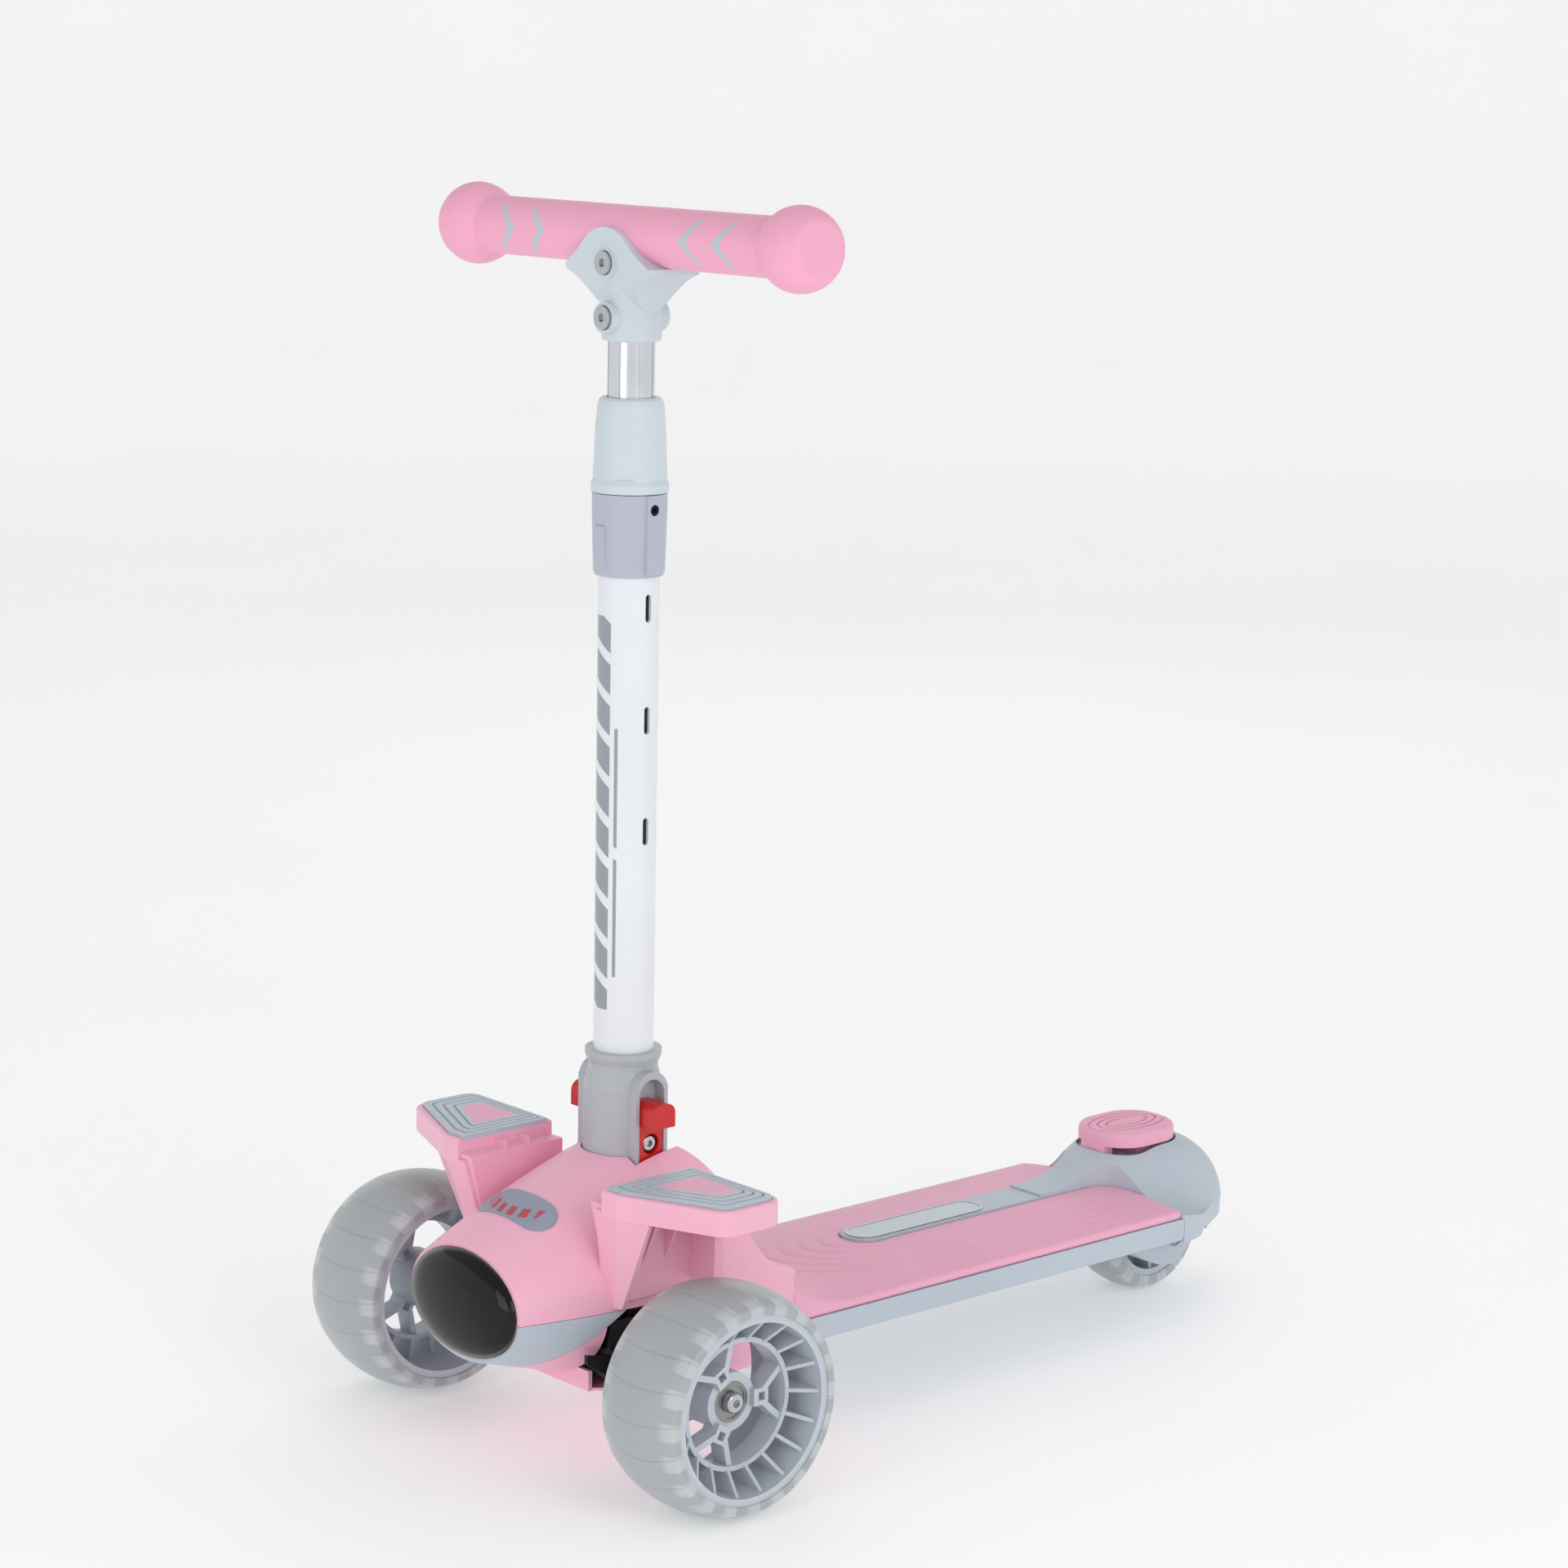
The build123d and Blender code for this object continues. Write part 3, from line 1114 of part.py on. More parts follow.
def pedal_plan(grow):
    """Oval plan of the brake pedal."""
    length = pedal_rear_y - pedal_front_y
    middle = (pedal_front_y + pedal_rear_y) / 2
    oval = Pos(0, middle) * RectangleRounded(2 * (pedal_half_width + grow), length + 2 * grow, 21 + grow)
    return oval


def brake_pedal():
    """Pink pedal with raised oval lines, a hinge lug and a shoe that rubs the rear tyre."""
    pad = Pos(0, 0, pedal_bottom_z) * extrude(pedal_plan(0), pedal_top_z - pedal_bottom_z)
    pad = fillet(pad.faces().sort_by(Axis.Z)[-1].edges(), 3.5)
    middle = (pedal_front_y + pedal_rear_y) / 2
    for k in range(3):
        half_x = 7 + 4.5 * k
        half_y = 17 + 6 * k
        line = extrude(Pos(0, middle, pedal_top_z - 0.9) * Ellipse(half_x, half_y), 4)
        pad = pad - (line - extrude(Pos(0, middle, pedal_top_z - 0.9) * Ellipse(half_x - 1.6, half_y - 1.6), 4))
    lug = rod_x(4, -9, 9, brake_pin_y, brake_pin_z)
    lug = lug + block(-9, 9, brake_pin_y - 4, brake_pin_y + 4, brake_pin_z, pedal_bottom_z + 1)
    shoe = block(-13, 13, 425, 452, shoe_z, pedal_bottom_z + 1)
    pedal = pad + lug + shoe
    return pedal - rod_x(brake_pin_radius + running, -10, 10, brake_pin_y, brake_pin_z)


def brake_pin():
    """Hinge pin of the brake pedal."""
    return rod_x(brake_pin_radius, -18, 18, brake_pin_y, brake_pin_z)


def mirrored(shapes):
    """Mirror a list of shapes to the other side."""
    return [mirror(s, about=Plane.YZ) for s in shapes]


def sub_parts():
    """Every named part with its solids, drawn from the front axle line."""
    keys = front_keys()
    wheel = {
        "tyre": [at_wheel(tyre(wheel_radius, tyre_edge_radius, rim_radius, wheel_width, keys))],
        "wheel_core": [at_wheel(front_core())],
        "wheel_bearings": [at_wheel(b) for b in front_bearings()],
        "wheel_bolt": [at_wheel(wheel_bolt())],
        "knuckle": [knuckle()],
        "kingpin": [kingpin()],
        "footpad": [wing_pad()],
        "footpad_inset": [wing_inset()],
        "release_cap": [release_half()],
    }
    parts = {}
    for name, shapes in wheel.items():
        parts[name + "_left"] = shapes
        parts[name + "_right"] = mirrored(shapes)
    parts["rear_tyre"] = [at_rear(tyre(rear_radius, rear_edge_radius, rear_rim_radius, rear_width, None))]
    parts["rear_wheel_core"] = [at_rear(rear_core())]
    parts["rear_wheel_bearings"] = [at_rear(b) for b in rear_bearings()]
    parts["rear_axle"] = [rear_axle()]
    for make in (axle_beam, lean_bush, lean_yoke, lean_bolt, tie_rod, head_shell, nose_chin, lower_housing,
                 lamp_bezel, lamp_lens, lamp_reflector, lamp_board, nose_badge, fold_bracket, fold_pin,
                 hinge_socket, lock_bolt, outer_tube, guide_bush, stem_collar, collar_screw, height_sleeve,
                 inner_tube, tube_plug, t_bracket, bar_core, bar_grip, deck_base, deck_mat, deck_spine,
                 badge_rim, deck_badge, rear_fender, brake_pedal, brake_pin):
        parts[make.__name__] = [make()]
    parts["bracket_screws"] = bracket_screws()
    parts["t_bracket_bolts"] = t_bracket_bolts()
    parts["grip_chevrons"] = chevrons()
    return parts


if __name__ == "__main__":
    os.makedirs("parts", exist_ok=True)
    for name, shapes in sub_parts().items():
        placed = group([Pos(0, -origin_y, 0) * shape for shape in shapes])
        placed.label = name
        export_step(placed, f"parts/{name}.step")
        print(name, len(placed.solids()), round(placed.volume / 1000, 2))
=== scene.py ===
# %% [markdown]
# # A folding three-wheeled kick scooter
# The scooter is built around a frame of exact solids, one for each moulded, turned or pressed piece.
# Those solids give the sizes and the joints. This file gives them their looks: the soft satin of moulded
# plastic, the milky polyurethane of the tyres, polished and plated metal, and a few pieces of finer detail.

import math

import bmesh
import bpy
from mathutils import Matrix, Vector


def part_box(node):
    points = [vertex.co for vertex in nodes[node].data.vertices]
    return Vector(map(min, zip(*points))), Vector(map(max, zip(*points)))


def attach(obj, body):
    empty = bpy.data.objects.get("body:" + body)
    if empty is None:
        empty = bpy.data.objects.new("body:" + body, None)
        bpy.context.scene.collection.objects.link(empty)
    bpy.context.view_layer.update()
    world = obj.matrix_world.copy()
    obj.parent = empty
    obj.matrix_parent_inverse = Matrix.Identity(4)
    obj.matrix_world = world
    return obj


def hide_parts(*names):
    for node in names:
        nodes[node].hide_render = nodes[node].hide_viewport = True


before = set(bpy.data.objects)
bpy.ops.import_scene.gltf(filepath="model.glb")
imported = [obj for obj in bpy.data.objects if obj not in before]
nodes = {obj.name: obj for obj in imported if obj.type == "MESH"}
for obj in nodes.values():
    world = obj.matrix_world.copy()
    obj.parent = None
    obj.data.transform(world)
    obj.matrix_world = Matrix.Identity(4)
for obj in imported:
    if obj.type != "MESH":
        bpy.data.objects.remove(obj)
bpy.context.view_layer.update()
print("pieces in the frame:", len(nodes))

# %% [markdown]
# ## Where things are
# Every place is read from the frame, so nothing has to be fitted by eye. A box gives the lowest and highest
# corner of a piece. The middle of a wheel and the line of the stem come from those.


# %% Boxes and middles
def middle(name):
    """The middle of a piece's box."""
    low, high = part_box(name)
    return (low + high) / 2


def size(name):
    """The three side lengths of a piece's box."""
    low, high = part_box(name)
    return high - low


stem_line = middle("outer_tube")
wheel_middle = {side: middle("tyre_" + side) for side in ("left", "right")}
rear_middle = middle("rear_tyre")
print("stem", tuple(stem_line), "rear wheel", tuple(rear_middle))

# %% [markdown]
# ## Camera, floor and light
# The scooter stands on a plain pale floor under large soft lights, as for a catalogue. The camera is about
# two metres away, a little above the handlebar, with a long lens, so the uprights stay nearly parallel.

# %% The camera
camera_place = Vector((1.58983, -1.49439, 0.75027))
camera_turn = math.radians(47.94)
camera_dip = math.radians(10.86)
camera_roll = math.radians(1.1)
back = Vector((math.sin(camera_turn) * math.cos(camera_dip),
               -math.cos(camera_turn) * math.cos(camera_dip), math.sin(camera_dip)))
level = Vector((math.cos(camera_turn), math.sin(camera_turn), 0))
above = back.cross(level)
right = level * math.cos(camera_roll) + above * math.sin(camera_roll)
up = above * math.cos(camera_roll) - level * math.sin(camera_roll)
camera_data = bpy.data.cameras.new("camera")
camera_data.lens = 92.76
camera_data.sensor_width = 36.0
camera = bpy.data.objects.new("camera", camera_data)
camera.matrix_world = Matrix.Translation(camera_place) @ Matrix((right, up, back)).transposed().to_4x4()
bpy.context.scene.collection.objects.link(camera)
bpy.context.scene.camera = camera
print("camera looks along", tuple(-back))

# %% The lights
world = bpy.data.worlds.new("studio")
world.use_nodes = True
world.node_tree.nodes["Background"].inputs["Color"].default_value = (1, 1, 1, 1)
world.node_tree.nodes["Background"].inputs["Strength"].default_value = 0.56
bpy.context.scene.world = world
bpy.context.scene.view_settings.view_transform = "Standard"


def soft_light(name, place, target, width, power):
    """A large square lamp that looks at a point."""
    data = bpy.data.lights.new(name, "AREA")
    data.shape = "SQUARE"
    data.size = width
    data.energy = power
    lamp = bpy.data.objects.new(name, data)
    aim = (Vector(target) - Vector(place)).to_track_quat("-Z", "Y")
    lamp.matrix_world = Matrix.Translation(Vector(place)) @ aim.to_matrix().to_4x4()
    bpy.context.scene.collection.objects.link(lamp)
    return lamp


body_middle = (0, 0, 0.3)
soft_light("key", (2.2, -0.5, 1.25), body_middle, 1.1, 9.0)
soft_light("front_fill", (0.5, -2.4, 0.8), body_middle, 1.2, 5.5)
soft_light("top", (-0.3, 0.4, 2.6), body_middle, 1.4, 2.0)
soft_light("back_rim", (-1.6, 1.6, 1.4), body_middle, 1.0, 2.0)

# %% [markdown]
# ## A short way to write shaders
# A material is a little net of nodes. Written out one by one, the nodes hide the idea, so a small class wraps
# a socket: adding or multiplying two of them adds a Math node. Every other node comes from one method that
# takes the node's type, its settings, and its inputs.


# %% Sockets that behave like numbers
class Net:
    """One node tree, and the only place where nodes are made."""

    def __init__(self, tree):
        self.tree = tree

    def node(self, kind, settings=None, inputs=None, output=0):
        """Add a node: settings first, then the values or links of its sockets."""
        made = self.tree.nodes.new(kind)
        for key, value in (settings or {}).items():
            setattr(made, key, value)
        for key, value in (inputs or {}).items():
            socket = made.inputs[key]
            if isinstance(value, Wire):
                self.tree.links.new(value.socket, socket)
            else:
                socket.default_value = value
        return Wire(self, made.outputs[output])


class Wire:
    """A socket's value, with the operators that this file uses."""

    def __init__(self, net, socket):
        self.net = net
        self.socket = socket

    def math(self, operation, other=None):
        """A Math node on this value."""
        inputs = {0: self}
        if other is not None:
            inputs[1] = other
        return self.net.node("ShaderNodeMath", {"operation": operation}, inputs)

    def __add__(self, other):
        return self.math("ADD", other)

    __radd__ = __add__

    def __mul__(self, other):
        return self.math("MULTIPLY", other)

    __rmul__ = __mul__

    def __sub__(self, other):
        return self.math("SUBTRACT", other)

    def __rsub__(self, other):
        return (self * -1.0) + other

    def between(self, low, high):
        """0 below low, 1 above high, smooth between."""
        return self.net.node("ShaderNodeMapRange", {"interpolation_type": "SMOOTHSTEP"},
                             {"Value": self, "From Min": low, "From Max": high})

    def mix(self, low, high):
        """A colour that goes from low to high as this value goes from 0 to 1."""
        return self.net.node("ShaderNodeMix", {"data_type": "RGBA"}, {0: self, 6: low, 7: high}, 2)


def shade(red, green, blue):
    """A colour given in the eye's 0 to 255 steps, as the linear colour a shader needs."""
    steps = []
    for value in (red, green, blue):
        part = value / 255
        steps.append(part / 12.92 if part <= 0.04045 else ((part + 0.055) / 1.055) ** 2.4)
    return (*steps, 1.0)


def scaled(colour, factor):
    """The same colour, lighter or darker."""
    return (*[min(1.0, c * factor) for c in colour[:3]], 1.0)


# %% A fresh material
def new_material(name, **constants):
    """A material with its shader's fixed values set, its net, and its coordinates in metres."""
    material = bpy.data.materials.new(name)
    material.use_nodes = True
    shader = material.node_tree.nodes["Principled BSDF"]
    for key, value in constants.items():
        shader.inputs[key.replace("_", " ")].default_value = value
    net = Net(material.node_tree)
    place = net.node("ShaderNodeTexCoord", output=3)
    return material, net, shader, place


def feed(net, shader, **wires):
    """Link values to the shader's sockets."""
    for key, value in wires.items():
        net.tree.links.new(value.socket, shader.inputs[key.replace("_", " ")])


def noise(net, place, scale, detail=3.0, roughness=0.55):
    """Cloudy noise between about 0.3 and 0.7."""
    return net.node("ShaderNodeTexNoise", None,
                    {"Vector": place, "Scale": scale, "Detail": detail, "Roughness": roughness})


def stretched(net, place, factors):
    """The same coordinates, drawn out along some axes."""
    return net.node("ShaderNodeMapping", None, {"Vector": place, "Scale": factors})


def bump(net, height, depth):
    """A normal from a height between 0 and 1, with a depth in metres."""
    return net.node("ShaderNodeBump", None, {"Height": height, "Distance": depth, "Strength": 1.0})


def split(net, place):
    """The x, y and z of a coordinate."""
    parts = net.node("ShaderNodeSeparateXYZ", None, {"Vector": place})
    return [Wire(net, out) for out in parts.socket.node.outputs]


# %% [markdown]
# ## Moulded plastic
# Most of the scooter is injection-moulded plastic with a fine spark-eroded grain. One recipe serves every
# colour: slow drifts of tone from the flow of the melt, a fine grain in the bump, and a few faint rub marks
# that are a little glossier. Only the colour and the gloss change from piece to piece.


# %% Moulded plastic
def moulded_plastic(name, colour, gloss=0.42, grain=0.00003, marks=0.5, drift=0.035):
    """Satin plastic of one colour."""
    material, net, shader, place = new_material(
        name, IOR=1.47, Subsurface_Weight=0.06, Subsurface_Scale=0.004)
    slow = noise(net, place, 9.0, 2.0)
    fine = noise(net, place, 1500.0, 2.0)
    medium = noise(net, place, 160.0, 4.0)
    rub = noise(net, stretched(net, place, (5.0, 43.0, 10.0)), 6.0, 5.0).between(0.62, 0.78) * marks
    tone = (slow - 0.5) * 2.4 + (medium - 0.5) * 0.5 + 0.5
    base = tone.mix(scaled(colour, 1.0 - drift), scaled(colour, 1.0 + drift))
    base = (rub * 0.2).mix(base, scaled(colour, 1.12))
    rough = (medium - 0.5) * 0.18 + gloss - rub * 0.08
    feed(net, shader, Base_Color=base, Roughness=rough,
         Normal=bump(net, fine + medium * 0.5, grain))
    return material


pink = moulded_plastic("pink_plastic", shade(249, 186, 209), gloss=0.40)
pink_soft = moulded_plastic("pink_grip", shade(247, 174, 202), gloss=0.50, grain=0.00004)
pink_mat = moulded_plastic("pink_mat", shade(243, 178, 204), gloss=0.48, grain=0.00004)
grey = moulded_plastic("blue_grey_plastic", shade(190, 201, 211), gloss=0.42)
grey_light = moulded_plastic("light_grey_plastic", shade(205, 216, 223), gloss=0.38)
lilac_grey = moulded_plastic("lilac_grey_plastic", shade(182, 186, 200), gloss=0.40)
socket_grey = moulded_plastic("socket_plastic", shade(180, 185, 190), gloss=0.38)
rim_grey = moulded_plastic("rim_plastic", shade(196, 203, 211), gloss=0.36)
red = moulded_plastic("red_plastic", shade(206, 34, 38), gloss=0.30)
black = moulded_plastic("black_plastic", shade(22, 22, 26), gloss=0.35, marks=0.3)
matt_black = moulded_plastic("matt_black", shade(20, 20, 24), gloss=0.62, marks=0.3)
bush_white = moulded_plastic("bush_plastic", shade(225, 225, 220), gloss=0.35)
print("plastics made")

# %% [markdown]
# ## Metals
# Three metals are seen: the drawn aluminium of the sliding tube, zinc-plated steel, and bright plated bolts.
# Each is fully metallic, and what tells them apart is the roughness and which way its fine scratches run.


# %% Metals
def metal(name, colour, gloss, scratch, depth=0.000008):
    """Bare or plated metal with scratches drawn out along the given factors."""
    material, net, shader, place = new_material(name, Metallic=1.0, IOR=1.8)
    lines = noise(net, stretched(net, place, scratch), 1.0, 6.0, 0.7)
    cloud = noise(net, place, 60.0, 3.0)
    base = cloud.mix(scaled(colour, 0.9), scaled(colour, 1.06))
    rough = (lines - 0.5) * 0.22 + cloud * 0.1 + gloss
    feed(net, shader, Base_Color=base, Roughness=rough, Normal=bump(net, lines, depth))
    return material


aluminium = metal("drawn_aluminium", shade(214, 218, 222), 0.18, (2600.0, 2600.0, 12.0))
zinc = metal("zinc_steel", shade(150, 150, 150), 0.26, (900.0, 900.0, 900.0), 0.000006)
chrome = metal("bright_plate", shade(190, 192, 194), 0.08, (400.0, 400.0, 400.0), 0.000004)
black_metal = metal("black_steel", shade(42, 42, 46), 0.45, (700.0, 700.0, 700.0))


# %% [markdown]
# ## Printed trim
# The front of the stem tube carries a silver-grey print, and the nose badge a small red one. Both are plain
# slanted bars here. A print is only colour, so it is worked out in the shader from the angle around the tube
# and the height up it, with soft steps as wide as the edge of the ink.


# %% Slanted bars
print_middle_z = 0.338       # middle of the tube's print above the floor, in metres
bar_slant = 0.7


def bars(along, across, pitch, fill, half_length, half_width, edge=0.0003):
    """1 inside a row of slanted bars: along and across are metres from the middle of the row."""
    slanted = (along + across * bar_slant) * (1.0 / pitch)
    bar = slanted.math("FRACT").math("PINGPONG", 0.5).between(0.5 - fill / 2, 0.5 - fill / 2 + edge / pitch)
    inside = (half_length - along.math("ABSOLUTE")).between(0.0, edge)
    return bar * inside * (half_width - across.math("ABSOLUTE")).between(0.0, edge)


def printed_tube():
    """White paint with a print of silver-grey bars up the front."""
    material, net, shader, place = new_material(
        "printed_tube", IOR=1.5, Coat_Weight=0.25, Coat_Roughness=0.12)
    peel = noise(net, place, 420.0, 2.0)
    slow = noise(net, place, 14.0, 2.0)
    base = slow.mix(shade(228, 232, 237), shade(237, 240, 244))
    x, y, z = split(net, place)
    around = (x - stem_line.x).math("ARCTAN2", stem_line.y - y) * (size("outer_tube").x / 2)
    up_tube = z - print_middle_z
    wide = bars(up_tube, around + 0.0015, 0.0215, 0.74, 0.104, 0.0062)
    thin = bars(up_tube + 0.02, around - 0.0082, 0.3, 0.98, 0.066, 0.0011)
    fine = bars(up_tube - 0.035, around + 0.0102, 0.3, 0.98, 0.048, 0.0007)
    ink = wide.math("MAXIMUM", thin).math("MAXIMUM", fine)
    base = ink.mix(base, shade(150, 156, 164))
    feed(net, shader, Base_Color=base, Roughness=slow * 0.06 + 0.24 + ink * 0.06,
         Normal=bump(net, peel, 0.000002))
    return material


def printed_badge():
    """Slate-grey plastic with a row of short red bars."""
    material, net, shader, place = new_material("printed_badge", IOR=1.47)
    spark = noise(net, place, 900.0, 2.0)
    base = noise(net, place, 60.0, 3.0).mix(shade(146, 154, 171), shade(158, 166, 182))
    x, y, z = split(net, place)
    centre = middle("nose_badge")
    ink = bars(x - centre.x, z - centre.z, 0.0078, 0.62, 0.0195, 0.0016)
    base = (ink * 0.9).mix(base, shade(196, 58, 62))
    feed(net, shader, Base_Color=base, Roughness=spark * 0.1 + 0.3, Normal=bump(net, spark, 0.00001))
    return material


tube_look = printed_tube()
badge_look = printed_badge()
print("prints made")

# %% [markdown]
# ## The tyres
# The tyres are cast in clear, slightly milky polyurethane, and blocks of the rim show through them as soft
# bands. The bands are worked out from the angle around the axle, so they turn with the wheel's own shape.


# %% Milky polyurethane
line_bow = 240.0             # how much the cast lines bend back towards the tyre's edges


def clear_tyre(name, hub, half_width, segments):
    """Translucent grey tyre with faint bands around the axle line through hub."""
    material, net, shader, place = new_material(
        name, IOR=1.42, Subsurface_Weight=0.35, Subsurface_Scale=0.005, Transmission_Weight=0.14,
        Subsurface_Radius=(1.0, 0.95, 0.85))
    x, y, z = split(net, place)
    across = x - hub.x
    turn = (z - hub.z).math("ARCTAN2", y - hub.y) * (segments / (2 * math.pi))
    step = (turn + across * across * line_bow).math("FRACT").math("PINGPONG", 0.5)
    line = 1.0 - step.between(0.0, 0.05)
    block = (turn + 0.5).math("FRACT").math("PINGPONG", 0.5).between(0.20, 0.27)
    edge = across.math("ABSOLUTE").between(half_width * 0.62, half_width * 0.86)
    cloud = noise(net, place, 30.0, 3.0)
    base = cloud.mix(shade(178, 184, 186), shade(192, 198, 200))
    base = (edge * block * 0.7).mix(base, shade(218, 223, 224))
    base = (line * 0.30).mix(base, shade(138, 146, 150))
    feed(net, shader, Base_Color=base, Roughness=cloud * 0.06 + 0.26,
         Normal=bump(net, (line * -0.6) + cloud * 0.5, 0.00015))
    return material


front_half_width = size("tyre_left").x / 2
tyre_look = {side: clear_tyre("tyre_" + side, wheel_middle[side], front_half_width, 20)
             for side in ("left", "right")}
rear_look = clear_tyre("tyre_rear", rear_middle, size("rear_tyre").x / 2, 14)


# %% [markdown]
# ## The lamp
# The lamp is a smoked lens over a metallised reflector cast in a grid. The lens really lets light through, so
# the grid shows faintly behind it. A low index of refraction keeps the pale room from washing it out.

# %% Smoked lens, reflector, board
def smoked_lens():
    """Dark clear plastic."""
    material, net, shader, place = new_material("smoked_lens", IOR=1.36, Transmission_Weight=1.0)
    cloud = noise(net, place, 40.0, 2.0)
    base = cloud.mix(shade(98, 93, 91), shade(108, 103, 100))
    feed(net, shader, Base_Color=base, Roughness=cloud * 0.03 + 0.02)
    return material


def reflector_look():
    """Bright metallised plastic in a cast pattern, with painted shade darkening the hollows of the grid."""
    material, net, shader, place = new_material("reflector", Metallic=0.9)
    x, _, z = split(net, place)
    cells_per_metre = 150.0
    cell_height_and_painted_shade = (x * cells_per_metre).math("PINGPONG", 0.5) + (z * cells_per_metre).math("PINGPONG", 0.5)
    cloud = noise(net, place, 70.0, 3.0)
    # painted shade: the base goes nearly black where the grid's bump is lowest and bright on its peaks
    base = cell_height_and_painted_shade.mix(shade(26, 23, 20), shade(150, 138, 118))
    feed(net, shader, Base_Color=base, Roughness=cloud * 0.2 + 0.15, Normal=bump(net, cell_height_and_painted_shade, 0.0008))
    return material


lens_look = smoked_lens()
reflector_mat = reflector_look()
board_look = moulded_plastic("circuit_board", shade(30, 92, 56), gloss=0.35)
rubber_look = moulded_plastic("rubber", shade(26, 26, 27), gloss=0.7)

# %% [markdown]
# ## Painting the frame
# A solid whose shape is already right keeps its mesh and only gets a finish. One table says which finish each
# solid has, and the last line prints any solid that was forgotten.

# %% Paint the frame
finishes = {
    "head_shell": pink, "lower_housing": pink, "footpad_inset_left": pink_mat,
    "footpad_inset_right": pink_mat, "deck_mat": pink_mat, "brake_pedal": pink_mat, "bar_grip": pink_soft,
    "nose_chin": grey, "nose_badge": badge_look, "deck_base": grey, "deck_spine": grey,
    "deck_badge": grey_light, "rear_fender": grey, "hinge_socket": socket_grey,
    "height_sleeve": grey_light, "t_bracket": grey_light,
    "grip_chevrons": grey, "footpad_left": grey, "footpad_right": grey, "stem_collar": lilac_grey,
    "outer_tube": tube_look, "inner_tube": aluminium, "fold_bracket": zinc, "fold_pin": zinc,
    "lean_bolt": zinc, "lean_yoke": zinc, "tie_rod": zinc, "rear_axle": zinc, "bar_core": zinc,
    "bracket_screws": zinc, "brake_pin": zinc, "rear_wheel_bearings": zinc, "wheel_bearings_left": zinc,
    "wheel_bearings_right": zinc, "kingpin_left": zinc, "kingpin_right": zinc, "lock_bolt": chrome,
    "badge_rim": chrome, "t_bracket_bolts": chrome, "wheel_bolt_left": chrome, "wheel_bolt_right": chrome,
    "axle_beam": matt_black, "collar_screw": black_metal, "release_cap_left": red, "release_cap_right": red,
    "rear_wheel_core": rim_grey, "wheel_core_left": rim_grey, "wheel_core_right": rim_grey,
    "knuckle_left": rim_grey, "knuckle_right": rim_grey, "rear_tyre": rear_look,
    "tyre_left": tyre_look["left"], "tyre_right": tyre_look["right"], "lamp_lens": lens_look,
    "lamp_bezel": black, "tube_plug": black, "lamp_reflector": reflector_mat, "lamp_board": board_look,
    "lean_bush": rubber_look, "guide_bush": bush_white,
}
for name, material in finishes.items():
    mesh = nodes[name].data
    mesh.materials.clear()
    mesh.materials.append(material)
print("left plain:", sorted(set(nodes) - set(finishes)))

# %% [markdown]
# ## The foot mat
# The mat is soft moulded plastic with long ripples that run round the badge like contour lines. The exact
# solid has them as crisp grooves. A voxel remesh of a copy turns it into small even faces, and smoothing
# rounds the grooves. Then each top point is lowered by where it lies between two loops, which makes soft
# terraces.

# %% Where a point lies between the loops
milli = 0.001
axle_row = (wheel_middle["left"].y + wheel_middle["right"].y) / 2
loop_middle = axle_row + 245 * milli
loop_tail = axle_row + 360 * milli
loop_half_width = 18.5 * milli
loop_half_length = 48.5 * milli
loop_step = 7 * milli


def loop_number(x, y):
    """0 on the innermost loop, 1 on the next, and so on outwards."""
    if y > loop_tail:
        return (math.hypot(x, (y - loop_tail) * 1.2) - loop_half_width) / loop_step
    if y > loop_middle:
        return (abs(x) - loop_half_width) / loop_step
    ahead = (loop_middle - y) / 2
    number = 0.0
    for _ in range(4):
        wide = loop_half_width + loop_step * number
        deep = loop_half_length / 2 + loop_step * number
        number = (math.hypot(x, ahead * wide / deep) - loop_half_width) / loop_step
        number = max(number, -1.0)
    return number


def finished_piece(name, shape, material, body, slot, *replaced):
    """Make an object of a bmesh, give it its finish, and put it on its body."""
    mesh = bpy.data.meshes.new(name)
    shape.to_mesh(mesh)
    shape.free()
    mesh.shade_smooth()
    mesh.materials.append(material)
    piece = bpy.data.objects.new(name, mesh)
    bpy.context.scene.collection.objects.link(piece)
    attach(piece, body)
    if replaced:
        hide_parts(*replaced)
    print(name, "faces", len(mesh.polygons))
    return piece


# %% The rippled mat
def remeshed(name, voxel):
    """A copy of a node with its loose triangles merged, remeshed into even small faces."""
    shape = bmesh.new()
    shape.from_mesh(nodes[name].data)
    bmesh.ops.remove_doubles(shape, verts=shape.verts, dist=0.00001)
    mesh = bpy.data.meshes.new(name + "_even")
    shape.to_mesh(mesh)
    shape.free()
    helper = bpy.data.objects.new(name + "_even", mesh)
    bpy.context.scene.collection.objects.link(helper)
    modifier = helper.modifiers.new("even", "REMESH")
    modifier.mode = "VOXEL"
    modifier.voxel_size = voxel
    graph = bpy.context.evaluated_depsgraph_get()
    even = bmesh.new()
    even.from_mesh(bpy.data.meshes.new_from_object(helper.evaluated_get(graph)))
    bpy.data.objects.remove(helper)
    return even


def smooth(shape, passes):
    """Round a mesh by moving each point towards its neighbours."""
    for _ in range(passes):
        bmesh.ops.smooth_vert(shape, verts=shape.verts, factor=0.5,
                              use_axis_x=True, use_axis_y=True, use_axis_z=True)


voxel_side = 0.0012
ripple_height = 1.9 * milli
top_band = 8 * milli         # points lower than this below the crown aren't on the top
flat_enough = 0.4            # the least upward part of a top point's normal
inner_end, outer_end = -0.4, 6.2
inner_fade, outer_fade = 0.4, 0.7
rise = 6                     # how steeply a terrace drops beyond its loop

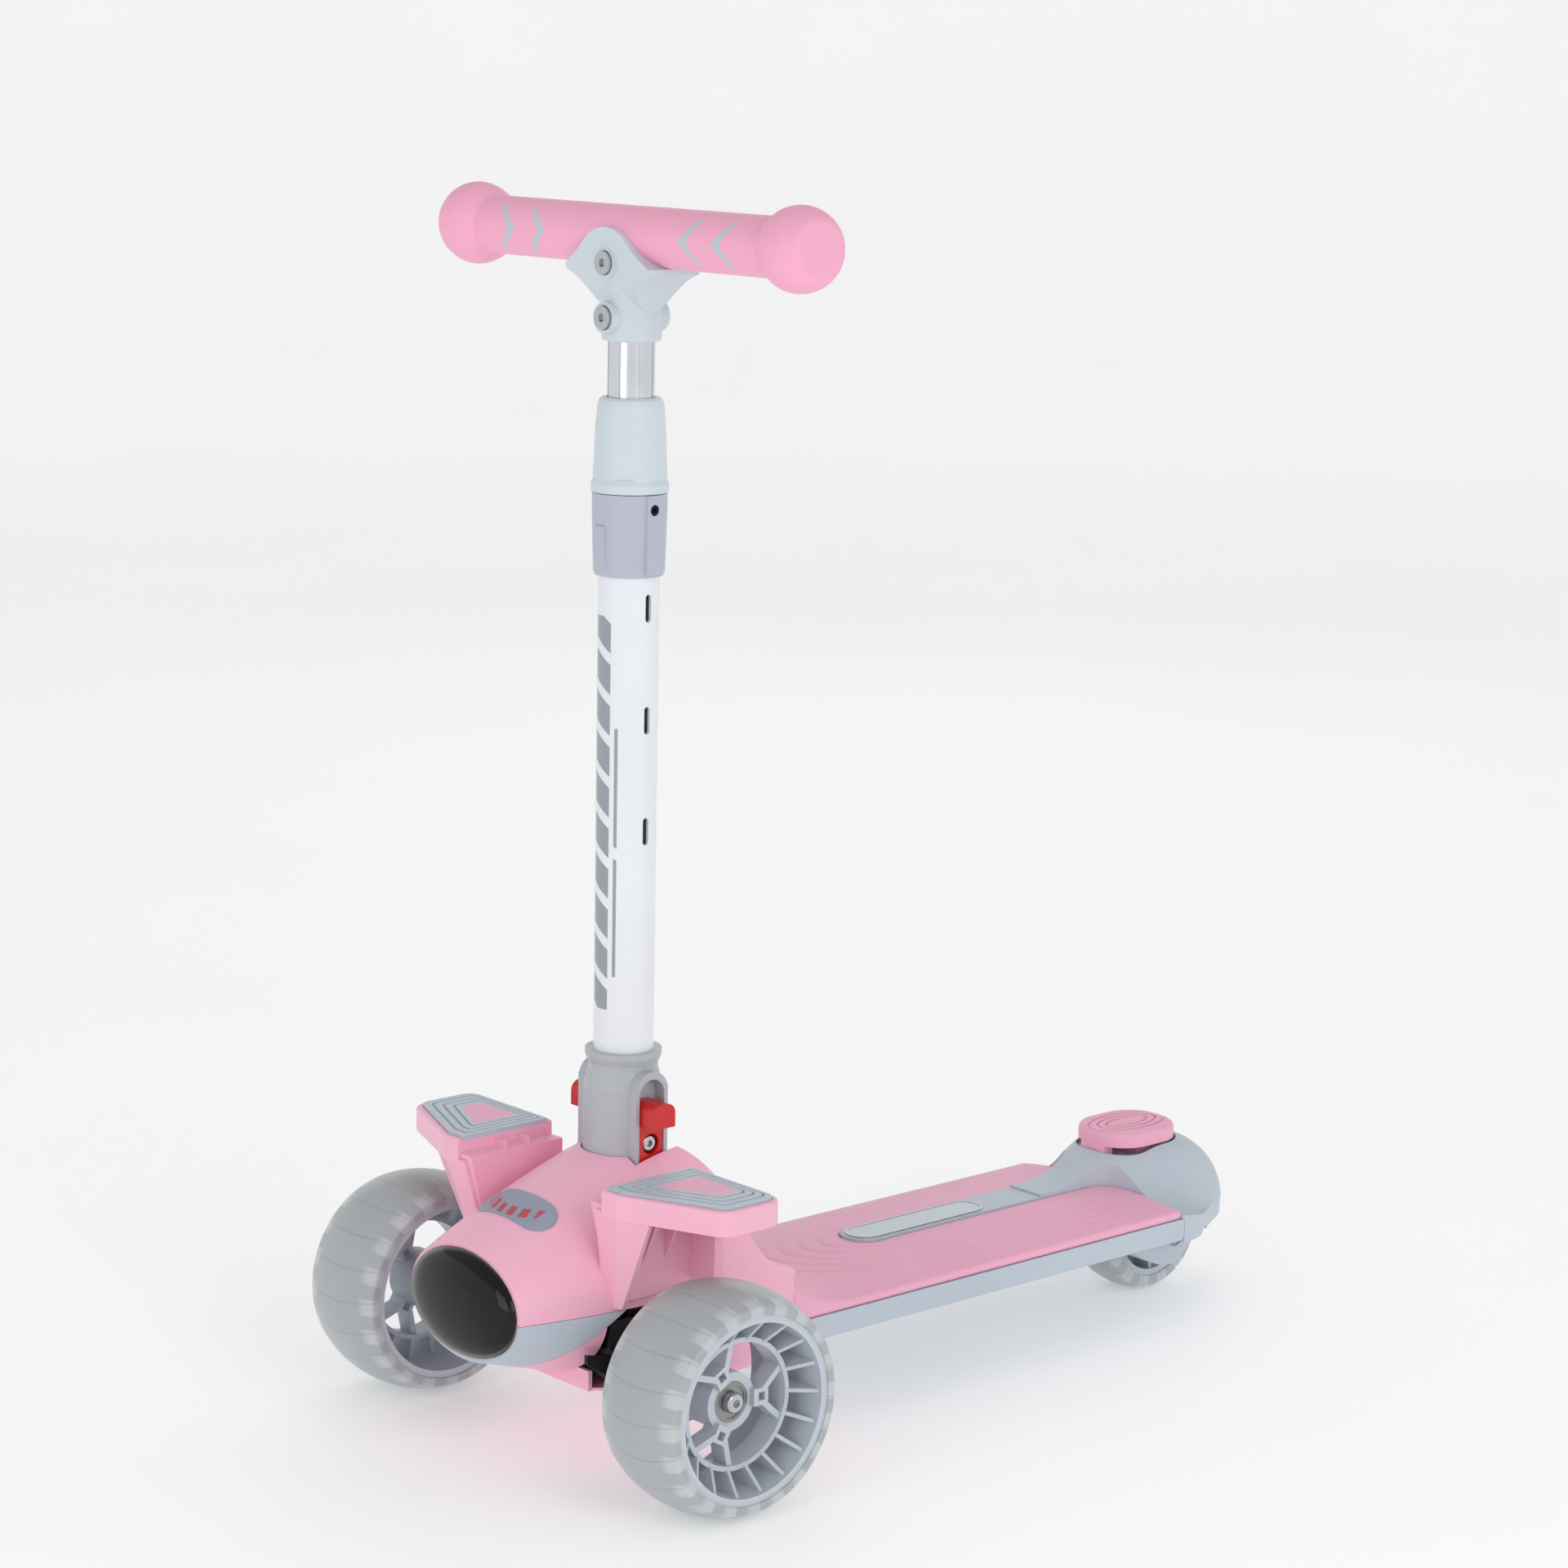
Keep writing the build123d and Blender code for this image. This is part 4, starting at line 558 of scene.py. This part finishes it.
mat_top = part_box("deck_mat")[1].z
mat = remeshed("deck_mat", voxel_side)
smooth(mat, 3)
mat.normal_update()
for vert in mat.verts:
    if vert.normal.z > flat_enough and vert.co.z > mat_top - top_band:
        number = loop_number(vert.co.x, vert.co.y)
        if inner_end < number < outer_end:
            share = number % 1.0
            fade = min(1.0, (number - inner_end) / inner_fade, (outer_end - number) / outer_fade)
            vert.co.z -= ripple_height * fade * (1 - share) * min(1.0, share * rise)
smooth(mat, 1)
finished_piece("rippled_mat", mat, pink_mat, "chassis", "pink_plastic", "deck_mat")

# %% [markdown]
# ## Closing strips under the foot platforms
# Each platform is a tray on a side wall. Along its inner edge a moulded strip closes the slit between the
# wall and the tray. It starts as a box that is bevelled all round, because a moulded edge is never sharp.

# %% The two strips
strip_width = 3.4 * milli
strip_height = 8.5 * milli
strip_inset = 2.0 * milli    # middle of the strip outside the pad's inner edge
strip_drop = 8.6 * milli     # middle of the strip below the pad's top
end_gap = 1 * milli
edge_round = 0.5 * milli

for side, way in (("left", 1), ("right", -1)):
    low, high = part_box("footpad_" + side)
    inner = min(abs(low.x), abs(high.x))
    strip = bmesh.new()
    bmesh.ops.create_cube(strip, size=1.0)
    bmesh.ops.scale(strip, verts=strip.verts, vec=(strip_width, high.y - low.y - end_gap, strip_height))
    bmesh.ops.translate(strip, verts=strip.verts,
                        vec=(way * (inner + strip_inset), (low.y + high.y) / 2, high.z - strip_drop))
    bmesh.ops.bevel(strip, geom=strip.edges[:], affect="EDGES", offset=edge_round, segments=3,
                    profile=0.5, material=-1)
    finished_piece("tray_strip_" + side, strip, pink, "chassis", "pink_plastic")

# %% [markdown]
# ## The floor
# A photographer's cove is a floor that curves up into its walls, so no horizon shows behind the product.
# Its profile is a straight floor, a quarter bend and a wall, spun once around the middle.

# %% The cove
cove_radius = 7.0
bend_radius = 2.0
wall_height = 3.0
shape = bmesh.new()
start = shape.verts.new((0, 0, 0))
edge = shape.verts.new((cove_radius - bend_radius, 0, 0))
shape.edges.new((start, edge))
bend = bmesh.ops.spin(shape, geom=[edge], cent=(cove_radius - bend_radius, 0, bend_radius), axis=(0, -1, 0),
                      angle=math.pi / 2, steps=16)
top_edge = [v for v in bend["geom_last"] if isinstance(v, bmesh.types.BMVert)]
raised = bmesh.ops.extrude_vert_indiv(shape, verts=top_edge)["verts"]
bmesh.ops.translate(shape, verts=raised, vec=(0, 0, wall_height - bend_radius))
bmesh.ops.spin(shape, geom=shape.verts[:] + shape.edges[:], cent=(0, 0, 0), axis=(0, 0, 1),
               angle=2 * math.pi, steps=64, use_merge=True)
bmesh.ops.remove_doubles(shape, verts=shape.verts, dist=0.0001)
bmesh.ops.recalc_face_normals(shape, faces=shape.faces)
floor_mesh = bpy.data.meshes.new("floor")
shape.to_mesh(floor_mesh)
shape.free()
floor_mesh.shade_smooth()
floor = bpy.data.objects.new("floor", floor_mesh)
bpy.context.scene.collection.objects.link(floor)
floor_look, net, shader, place = new_material(
    "pale_floor", Specular_IOR_Level=0.2, Emission_Color=(1, 1, 1, 1), Emission_Strength=0.24)
feed(net, shader, Base_Color=noise(net, place, 3.0, 3.0).mix(shade(246, 246, 247), shade(250, 250, 251)),
     Roughness=noise(net, place, 40.0) * 0.1 + 0.6)
floor_mesh.materials.append(floor_look)
print("cove box", [round(v, 2) for v in floor.dimensions])
